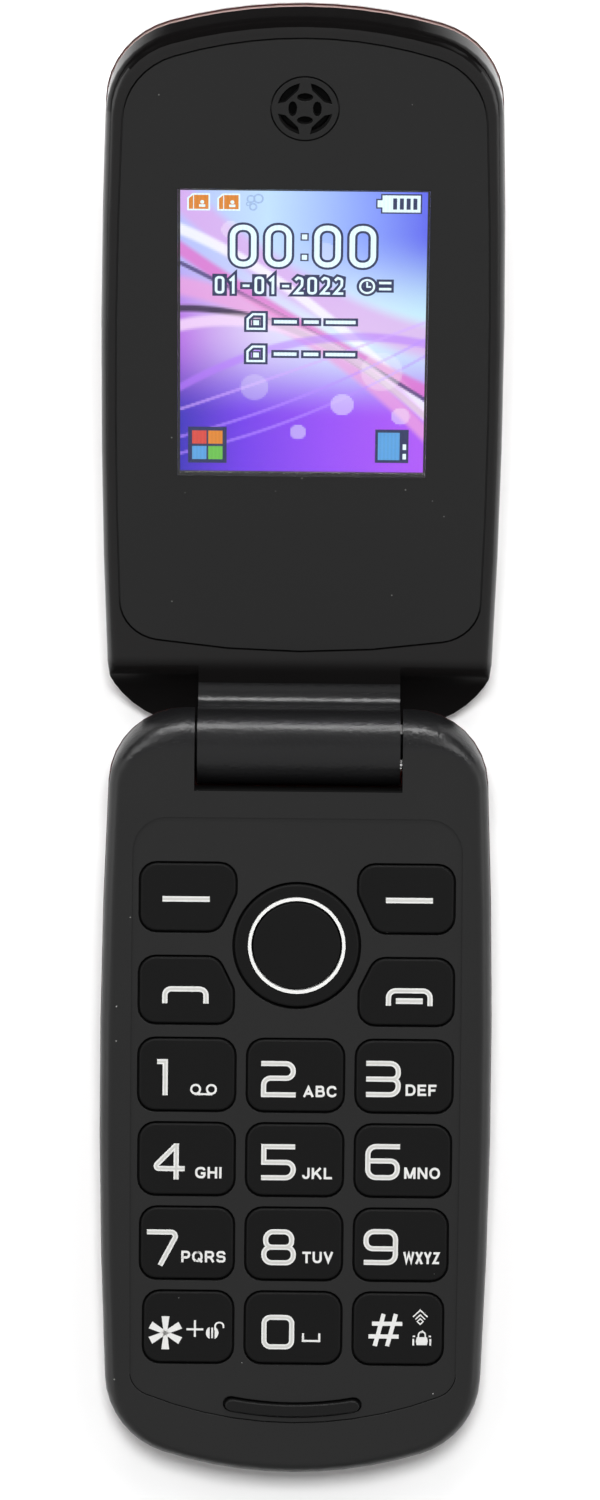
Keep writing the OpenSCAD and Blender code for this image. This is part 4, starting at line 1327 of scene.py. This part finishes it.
    def top_signs(self) -> list[Group]:
        """The link sign, two cards and the battery's bars, along the top of the picture."""
        rings = ((0.6, 1.5, 0.4, 0.2), (1.45, 1.55, 0.5, 0.2), (0.85, 0.55, 0.38, 0.2), (0.3, 0.9, 0.2, 0.14))
        link = Mark((-6.6, 14.85), tuple(circle(*ring) for ring in rings))
        sheet = ((0, 0.1), (2.4, 0.1), (2.4, 2.0), (0.55, 2.0), (0, 1.5))
        rim = (Stroke(tuple((*p, 0.05) for p in sheet), 0.18, True), *bars(0.1, (0.62, 0.1, 0.62, 2.0)))
        chip = (box(1.25, 0.45, 1.95, 0.75), disc(1.6, 1.05, 0.22))
        places = ((-13.1, 14.9), (-9.7, 14.9))
        charge = tuple(box(1.75 + 0.76 * k, 0.35, 2.2 + 0.76 * k, 1.7) for k in range(4))
        return [
            ("link_sign", DIM_GLOW, [link], 0.0, 0.0),
            ("cards", ORANGE_GLOW, [Mark(at, plates=(sheet,)) for at in places], 0.0, 0.0),
            ("card_rims", PALE_GLOW, [Mark(at, rim, chip) for at in places], 0.0, 0.014),
            ("battery_bars", NAVY_GLOW, [Mark(self.battery_at, plates=charge)], 0.0, 0.03),
        ]

    def corner_signs(self) -> list[Group]:
        """The grid of four colours and the book, in the lower corners of the picture."""
        colours = (
            ("red", RED_GLOW, 0.3, 2.25), ("orange", ORANGE_GLOW, 2.15, 2.25), ("blue", BLUE_GLOW, 0.3, 0.3),
            ("green", GREEN_GLOW, 2.15, 0.3),
        )
        page = (box(0.15, 0.2, 2.65, 3.65),)
        tabs = tuple(box(3.0, y, 3.4, y + 0.7) for y in (0.3, 1.5))
        squares: list[Group] = []
        for name, finish, x, y in colours:
            square = Mark(self.grid_at, plates=(box(x, y, x + 1.65, y + 1.65),))
            squares.append((f"grid_{name}", finish, [square], 0.0, 0.03))
        return squares + [
            ("book", BLUE_GLOW, [Mark(self.book_at, plates=page)], 0.0, 0.03),
            ("book_tabs", PALE_GLOW, [Mark(self.book_at, plates=tabs)], 0.0, 0.03),
        ]

    def small_digit(self, sign: str, x: float) -> Mark:
        """Draws a small digit or dash of the date.

        Args:
            sign: the digit, or a dash.
            x: its left edge from the picture's middle.

        Returns:
            The mark.
        """
        lines: dict[str, Line] = {
            "0": box(0.2, 0.15, 1.0, 2.0, 0.3),
            "1": ((0.25, 1.6), (0.65, 2.0, 0.05), (0.65, 0.0)),
            "2": (
                (0.2, 1.75), (0.5, 2.05, 0.1), (1.0, 1.9, 0.3), (0.95, 1.1, 0.2), (0.2, 0.15, 0.05),
                (1.15, 0.15),
            ),
            "-": ((0.2, 1.0), (1.0, 1.0)),
        }
        return Mark((x, self.date_y), (Stroke(lines[sign], 0.3, sign == "0"),))


# ---------------------------------------------------------------- the base


@dataclass
class Base:
    """The half with the keypad.

    Attributes:
        half: its frame.
        face: height of the keypad face in mm.
        field: height of the sunk keypad field.
        back: height of its back.
        length: from the hinge axis to the bottom end.
        knuckle_y: where the texture round the knuckles begins, from the hinge axis.
        brow_y: the straight edge of the face next to the hinge.
        foot_y: from where the face's edge runs round the foot of the field.
        bumper_y: middle of the rubber bar.
        bumper_rise: how far it stands over the face.
        bumper_fit: how far it is scaled, so that a gap shows round it.
        tongue: size of the charging socket's tongue.
        tongue_z: height of its middle.
        contact: size of one of its contacts.
        contact_z: height of their middle.
        contact_pitch: distance between them.
    """

    half: Half
    face: float = 4.5
    field: float = 4.3
    back: float = -5.1
    length: float = 86.3
    knuckle_y: float = -1.6
    brow_y: float = -4.75
    foot_y: float = -72.0
    bumper_y: float = -78.35
    bumper_rise: float = 0.4
    bumper_fit: Spot = (0.985, 0.88, 1.0)
    tongue: Spot = (4.2, 3.9, 0.6)
    tongue_z: float = -1.75
    contact: Spot = (0.3, 3.4, 0.1)
    contact_z: float = -1.42
    contact_pitch: float = 0.65

    def build(self) -> None:
        """Builds every piece of the base but its keys."""
        self.cover()
        for node, name, width, body in (
            ("base_housing", "back_casing", 0.1, "base"),
            ("battery_cover", "battery_door", 0.12, "battery_cover"),
        ):
            self.half.clad(node, name, Slot.WINE, WINE_LACQUER, self.back, width, body=body)
        self.bumper()
        self.socket_tongue()

    def cover(self) -> None:
        """Builds the keypad casing with soft edges at the openings, the brow and the foot, and painted shade
        in the step at the foot.
        """
        piece = self.half.copy_of("base_cover", "keypad_casing")
        soften(piece, rim_at(self.field, self.falls), 0.12, 2)
        brow = rim_at(self.face, lambda e: all(abs(v.co.y - self.brow_y) < 0.05 for v in e.verts))
        soften(piece, brow, 0.14, 3)
        soften(piece, rim_at(self.face, lambda e: all(v.co.y < self.foot_y for v in e.verts)), 0.19, 3)
        for face in piece.data.polygons:
            y, z = face.center.y, face.center.z
            knuckle = y > self.knuckle_y and face.normal.z < 0.998
            # Step faces at the field's foot take the nearly black finish: painted shade in the crease.
            step = y < self.foot_y and self.field < z < self.face - 0.04 and face.normal.y > 0.1
            face.material_index = 1 if knuckle else 2 if step else 0
        self.half.fasten(piece, Slot.BLACK, (MATT_ABS, BARREL_ABS, STEP_SHADE_ABS), "base_cover")

    @staticmethod
    def falls(edge: Any) -> bool:
        """Tells whether a face goes down from an edge, as at a key opening."""
        return any(face.calc_center_median().z < edge.verts[0].co.z - 0.05 for face in edge.link_faces)

    def bumper(self) -> None:
        """Builds the rubber bar that the lid shuts on."""
        piece = self.half.copy_of("lid_bumper", "rubber_bumper")
        with editing(piece, "SELECT"):
            bpy.ops.transform.resize(value=self.bumper_fit, center_override=(0, self.bumper_y, 0))
        soften(piece, rim_at(self.face + self.bumper_rise), 0.25, 4)
        self.half.fasten(piece, Slot.RUBBER, (RUBBER,), "lid_bumper")

    def socket_tongue(self) -> None:
        """Builds the tongue with five contacts inside the charging socket."""
        cube, end, name = bpy.ops.mesh.primitive_cube_add, -self.length, "charging_socket_tongue"
        tongue = formed(name, cube, self.tongue, size=1, location=(0, end + 3.1, self.tongue_z))
        soften(tongue, lambda e: all(v.co.y < end + 1.5 for v in e.verts), 0.15, 2)
        strips = []
        for k in range(-2, 3):
            spot = (k * self.contact_pitch, end + 3.0, self.contact_z)
            strip = formed("contact", cube, self.contact, size=1, location=spot)
            soften(strip, lambda e: all(v.co.z > self.contact_z for v in e.verts), 0.04, 2)
            strips.append(strip)
        self.half.fasten(tongue, Slot.RESIN, (DARK_RESIN,))
        self.half.fasten(joined("charging_socket_contacts", strips), Slot.BRASS, (GOLD_PLATE,))


# ---------------------------------------------------------------- the keys

# The number keys: the digit's lower left corner from the key's middle, then the letters with the lower left
# corner and the size of their box.
NUMBERS: dict[str, tuple[Any, ...]] = {
    "1": ((-3.47, -2.47),),
    "2": ((-4.01, -2.57), "ABC", (0.9, -2.51), (3.9, 1.35)),
    "3": ((-4.44, -2.43), "DEF", (0.19, -2.25), (3.59, 1.35)),
    "4": ((-4.21, -2.44), "GHI", (1.06, -2.26), (3.09, 1.35)),
    "5": ((-3.91, -2.41), "JKL", (0.89, -2.23), (3.5, 1.35)),
    "6": ((-4.43, -2.27), "MNO", (0.14, -2.09), (4.2, 1.36)),
    "7": ((-4.53, -2.68), "PQRS", (-0.49, -2.27), (5.2, 1.38)),
    "8": ((-3.8, -2.52), "TUV", (1.01, -2.23), (3.62, 1.36)),
    "9": ((-4.53, -2.38), "WXYZ", (0.16, -2.21), (4.26, 1.43)),
    "0": ((-3.7, -2.56),),
}


@dataclass
class Keypad:
    """The keys with their printing.

    Attributes:
        half: the base's frame.
        top: height of the key tops in mm.
        nav_y: middle of the direction key.
        row_y: the first row of number keys.
        pitch: distances between the number keys, across and along.
        pad_hole: from where an edge of the direction key is its outer one, from its middle.
        ring_wall: the same for a corner of its white ring.
        ring_rise: how far that ring stands over the key tops.
        ring_fit: how far its top is scaled, so that a gap shows round it.
        edge: radius of the soft edge round a key's top.
    """

    half: Half
    top: float = 4.4
    nav_y: float = -22.9
    row_y: float = -38.3
    pitch: Point = (12.7, 10.05)
    pad_hole: float = 6.5
    ring_wall: float = 5.5
    ring_rise: float = 0.08
    ring_fit: Spot = (0.991, 0.991, 1.0)
    edge: float = 0.3

    def build(self) -> None:
        """Builds every key and its printing."""
        signs = self.signs()
        for k, sign in enumerate((*"123456789", "star", "0", "hash")):
            at = Vector(((k % 3 - 1) * self.pitch[0], self.row_y - k // 3 * self.pitch[1]))
            marks = signs.get(sign, [])
            if sign in NUMBERS:
                place, *letters = NUMBERS[sign]
                marks = [Mark(place, digit(sign), core=True), *marks, *([word(*letters)] if letters else [])]
            self.key("key_" + sign, at, marks)
        for name in ("soft_key_left", "soft_key_right", "call_key", "end_key"):
            self.key(name, Vector((0, self.nav_y)), signs[name])
        self.direction_key()

    def key(self, name: str, at: Vector, marks: Sequence[Mark]) -> None:
        """Builds one pressed key with a soft edge round its top, and its printing.

        Args:
            name: the key's node and body.
            at: the point that its signs are measured from.
            marks: its signs.
        """
        self.half.clad(name, name + "_cap", Slot.KEY, KEY_CAP, self.top, self.edge, 4, name)
        printing = print_marks(name + "_printing", [mark.moved(at.x, at.y) for mark in marks], self.top)
        self.half.fasten(printing, Slot.RING, (WHITE_INK, GREY_INK), body=name)

    def direction_key(self) -> None:
        """Builds the round direction key, its white ring and the middle key."""
        pad = self.half.copy_of("nav_pad", "direction_pad")
        soften(pad, rim_at(self.top, lambda e: self.out(e.verts[0]) > self.pad_hole), self.edge, 4)
        self.half.fasten(pad, Slot.KEY, (KEY_CAP,), "nav_pad", body="nav_pad")
        ring = self.half.copy_of("nav_ring", "direction_ring")
        with editing(ring):
            pick(ring, Part.VERTS, lambda v: v.co.z > self.top - 0.3 and self.out(v) > self.ring_wall)
            bpy.ops.transform.resize(value=self.ring_fit, center_override=(0, self.nav_y, 0))
        soften(ring, rim_at(self.top + self.ring_rise), 0.05, 2)
        self.half.fasten(ring, Slot.RING, (WHITE_ABS,), "nav_ring", body="nav_pad")
        self.half.clad("ok_key", "middle_key_cap", Slot.KEY, KEY_CAP, self.top, 0.2, 3, "ok_key")

    def out(self, corner: Any) -> float:
        """How far a corner lies from the direction key's middle, in mm."""
        return math.hypot(corner.co.x, corner.co.y - self.nav_y)

    def signs(self) -> dict[str, list[Mark]]:
        """The further signs of each key, from its middle or, round the direction key, from the latter's."""
        call = Stroke(((0.3, 0), (0.3, 1.7, 0.75), (5.1, 1.7, 0.75), (5.1, 0)), 0.62)
        end = Stroke(((0.3, 0), (0.3, 1.78, 0.85), (5.15, 1.78, 0.85), (5.15, 0)), 0.6)
        tape = (circle(0.66, 0.72, 0.52, 0.24), circle(2.5, 0.72, 0.52, 0.24))
        tray = Stroke(((0.12, 1.05), (0.12, 0.14, 0.03), (2.04, 0.14, 0.03), (2.04, 1.05)), 0.24)
        return {
            "soft_key_left": [Mark((-15.68, 5.0), bars(0.64, (0, 0.4, 5.5, 0.4)), core=True)],
            "soft_key_right": [Mark((10.33, 5.07), bars(0.64, (0, 0.4, 5.47, 0.4)), core=True)],
            "call_key": [Mark((-15.63, -6.93), (call,), core=True)],
            "end_key": [Mark((10.46, -6.97), (end, *bars(0.68, (1.16, 0.56, 4.3, 0.56))), core=True)],
            "1": [Mark((0.39, -2.43), (*tape, *bars(0.24, (0.55, 0.14, 2.6, 0.14))))],
            "star": self.star_signs(),
            "0": [Mark((1.06, -1.66), (tray,))],
            "hash": self.hash_signs(),
        }

    @staticmethod
    def star_signs() -> list[Mark]:
        """The star, the plus and the open lock."""
        arms = []
        for turn in (90, 28, -28, -90, -152, 152):
            c, s = math.cos(math.radians(turn)), math.sin(math.radians(turn))
            corners = ((0.0, -0.2), (1.98, -0.46), (1.98, 0.46), (0.0, 0.2))
            arms.append(tuple((1.87 + x * c - y * s, 2.0 + x * s + y * c) for x, y in corners))
        shackle = Stroke(((1.15, 1.1), (1.15, 2.0, 0.42), (2.12, 2.0, 0.42), (2.12, 1.35)), 0.2)
        halves = []
        for x, side in ((0.66, 1), (0.94, -1)):
            turns = [math.radians(90 + side * 15 * k) for k in range(1, 12)]
            halves.append(tuple((x + 0.6 * math.cos(t), 0.76 + 0.72 * math.sin(t)) for t in turns[::side]))
        return [
            Mark((-4.16, -2.71), plates=tuple(arms)),
            Mark((0.18, -1.21), bars(0.24, (0, 0.95, 1.98, 0.95), (1.0, 0.05, 1.0, 2.05))),
            Mark((2.41, -1.43), (shackle, *bars(0.2, (0.8, 0.12, 0.8, 1.4))), tuple(halves)),
        ]

    @staticmethod
    def hash_signs() -> list[Mark]:
        """The hash, the shift arrow and the bell."""
        steep = ((0.75, 0, 1.75, 3.85), (2.2, 0, 3.2, 3.85))
        crossed = bars(0.5, *steep, (0.0, 1.15, 3.55, 1.15), (0.4, 2.68, 3.95, 2.68))
        shift = (
            Stroke(((0.08, 0.95), (0.93, 1.76), (1.78, 0.95)), 0.15),
            Stroke(((0.36, 0.66), (0.93, 1.2), (1.5, 0.66)), 0.15),
            Stroke(((0.93, 0.06), (1.27, 0.4), (0.93, 0.74), (0.59, 0.4)), 0.14, True),
        )
        bell = (
            Stroke(((0.7, 0.9), (0.7, 1.7, 0.4), (1.5, 1.7, 0.4), (1.5, 0.9)), 0.17),
            *bars(0.2, (0.1, 0.05, 0.1, 0.85), (2.1, 0.05, 2.1, 0.85)),
            *bars(0.17, (0.02, 1.15, 0.3, 1.15), (1.9, 1.15, 2.18, 1.15)),
        )
        body = ((0.5, 0.1), (1.7, 0.1), (1.8, 0.55), (1.7, 1.05), (0.5, 1.05), (0.4, 0.55))
        return [Mark((-3.82, -2.05), crossed), Mark((1.31, 0.54), shift), Mark((1.35, -1.99), bell, (body,))]


@dataclass(frozen=True)
class InnerParts:
    """The CAD nodes that keep their shape: each gets the finish of what it is.

    Attributes:
        frame: the loaded frame.
        finishes: each finish with its nodes.
    """

    frame: dict[str, Any]
    finishes: tuple[tuple[Finish, tuple[str, ...]], ...] = (
        (DARK_RESIN, ("earpiece_receiver", "loudspeaker", "flex_connector")),
        (CELL_GLASS, ("lcd_cell",)),
        (WHITE_PC, ("lcd_backlight",)),
        (SOLDER_MASK, ("lid_board", "main_board")),
        (PLATED_STEEL, ("lid_magnet", "lid_screw_left", "lid_screw_right", "hinge_can", "hinge_spring",
                        "key_domes", "sim_holder", "shield_can", "usb_socket", "vibration_motor",
                        "base_screw_left", "base_screw_right")),
        (BLACKED_STEEL, ("hinge_shaft", "hinge_pin")),
        (AMBER_FILM, ("display_flex", "base_flex")),
        (BRONZE, ("hinge_cam",)),
        (MILKY_SILICONE, ("keypad_mat",)),
        (BATTERY_SLEEVE, ("battery",)),
        (GOLD_PLATE, ("battery_contacts", "antenna", "microphone")),
        (GREY_POM, ("nav_carrier",)),
    )

    def dress(self) -> None:
        """Gives each node its material."""
        for finish, names in self.finishes:
            for name in names:
                mesh = self.frame["nodes"][name].data
                if mesh.materials:
                    mesh.materials[0] = finish.material()
                else:
                    mesh.materials.append(finish.material())
            LOG.info("%s on %d inner parts", finish.name, len(names))


# ---------------------------------------------------------------- the studio


@dataclass(frozen=True)
class Lamp:
    """A soft box.

    Attributes:
        name: its name.
        at: its place in metres.
        size: its width and height in metres.
        watts: its power.
        mirrored: whether glossy surfaces show it.
    """

    name: str
    at: Spot
    size: Point
    watts: float
    mirrored: bool = True

    def build(self) -> None:
        """Builds the lamp, turned towards the telephone."""
        light = bpy.data.lights.new(self.name, "AREA")
        light.shape = "RECTANGLE"
        light.size, light.size_y = self.size
        light.energy = self.watts
        lamp = added(self.name, light)
        lamp.location = self.at
        lamp.visible_glossy = self.mirrored
        lamp.rotation_euler = (Vector((0, 0, 0.01)) - Vector(self.at)).to_track_quat("-Z", "Y").to_euler()


@dataclass(frozen=True)
class Studio:
    """Pale table, plain surroundings, lamps and camera.

    Attributes:
        frame: the loaded frame.
        distance: from the camera to the hinge in metres.
        tilt: how far the camera leans towards the lid, in degrees.
        roll: how far it is turned about its view, in degrees.
        lens: focal length for a 36 mm sensor's long side.
        aim: the middle of its view from the hinge, in metres.
        lamps: the soft boxes.
    """

    frame: dict[str, Any]
    distance: float = 0.76
    tilt: float = 3.9
    roll: float = 0.57
    lens: float = 156.3
    aim: Spot = (0.00015, -0.00047, 0)
    lamps: tuple[Lamp, ...] = (
        Lamp("left_soft_box", (-0.95, -0.05, 0.45), (0.9, 0.5), 2.2),
        Lamp("right_soft_box", (0.95, -0.05, 0.45), (0.9, 0.5), 2.2),
        Lamp("left_corner_box", (-0.55, 0.55, 0.85), (0.5, 0.5), 2.5),
        Lamp("right_corner_box", (0.55, 0.55, 0.85), (0.5, 0.5), 2.5),
        Lamp("hinge_strip", (0.0, 1.0, 0.5), (0.8, 0.11), 6.0),
        Lamp("top_box", (0.0, 0.26, 1.0), (0.22, 0.22), 7.5, mirrored=False),
    )

    def build(self) -> None:
        """Builds the studio."""
        self.camera()
        self.table()
        self.surroundings()
        for lamp in self.lamps:
            lamp.build()

    def camera(self) -> None:
        """Builds the camera."""
        hinge = next(j for j in self.frame["joints"] if j["name"] == "lid_hinge")
        lens = bpy.data.cameras.new("camera")
        lens.sensor_width = 36
        lens.lens = self.lens
        lens.clip_start, lens.clip_end = 0.01, 20
        lean = math.radians(self.tilt)
        away = Vector((0, math.sin(lean), math.cos(lean))) * self.distance
        turn = Matrix.Rotation(-lean, 4, "X") @ Matrix.Rotation(math.radians(self.roll), 4, "Z")
        camera = added("camera", lens)
        camera.matrix_world = Matrix.Translation(Vector(hinge["pos_m"]) + Vector(self.aim) + away) @ turn
        bpy.context.scene.camera = camera

    def table(self) -> None:
        """Builds the table top: white to the camera, with the telephone's shadow, and grey elsewhere."""
        table = formed("table_top", bpy.ops.mesh.primitive_plane_add, size=6, location=(0, 0, 0))
        made = bpy.data.materials.new("white_table_laminate")
        made.use_nodes = True
        made.node_tree.nodes.clear()
        on = Nodes(made.node_tree)
        paper = on.add("BsdfDiffuse", {"Color": srgb("#f4f4f4")})
        lift = on.add("Emission", {"Color": srgb("#ffffff"), "Strength": 0.06})
        both = on.add("AddShader", {0: paper, 1: lift})
        surface = on.add("MixShader", {0: self.seen(on), 1: paper, 2: both})
        on.add("OutputMaterial", {"Surface": surface})
        table.data.materials.append(made)

    def surroundings(self) -> None:
        """Builds the world: a room that is pale low down and in front, and dark above and behind the lid."""
        world = bpy.data.worlds.new("studio_room")
        world.use_nodes = True
        world.node_tree.nodes.clear()
        on = Nodes(world.node_tree)
        way = on.add("TexCoord")
        axes = on.add("SeparateXYZ", {"Vector": way.outputs["Generated"]})
        shift = on.add("MapRange", {"Value": axes.outputs["Y"], "From": (-1.0, 1.0)})
        greys = ((0.03, "#303030"), (0.08, "#b4b4b4"), (0.5, "#b4b4b4"), (0.62, "#404040"), (1.0, "#303030"))
        room = on.add("ValToRGB", {"Fac": shift}, stops=greys)
        level = on.add("MapRange", {"Value": self.seen(on), "To": (0.28, 1.0)})
        glow = on.add("Background", {"Color": room, "Strength": level})
        on.add("OutputWorld", {"Surface": glow})
        bpy.context.scene.world = world
        bpy.context.scene.view_settings.view_transform = "Standard"

    @staticmethod
    def seen(on: Nodes) -> Any:
        """Tells apart what the camera sees, also in a mirror or through glass.

        Args:
            on: the nodes of the material or the world.

        Returns:
            A node that gives 1 for camera, glossy and transmission rays.
        """
        rays = on.add("LightPath").outputs
        first = on.add("Math", {0: rays["Is Camera Ray"], 1: rays["Is Glossy Ray"]}, operation="MAXIMUM")
        return on.add("Math", {0: first, 1: rays["Is Transmission Ray"]}, operation="MAXIMUM")


def corners(bounds: Sequence[Any]) -> list[list[float]]:
    """Turns a box into plain lists of numbers."""
    return [[float(c) for c in corner] for corner in bounds]


def main() -> None:
    """Builds the telephone's looks piece by piece."""
    logging.basicConfig(level=logging.INFO, format="%(message)s")
    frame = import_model()
    base, lid = read_halves(frame)
    Lid(lid).build()
    Base(base).build()
    Keypad(base).build()
    InnerParts(frame).dress()
    Studio(frame).build()


if __name__ == "__main__":
    main()
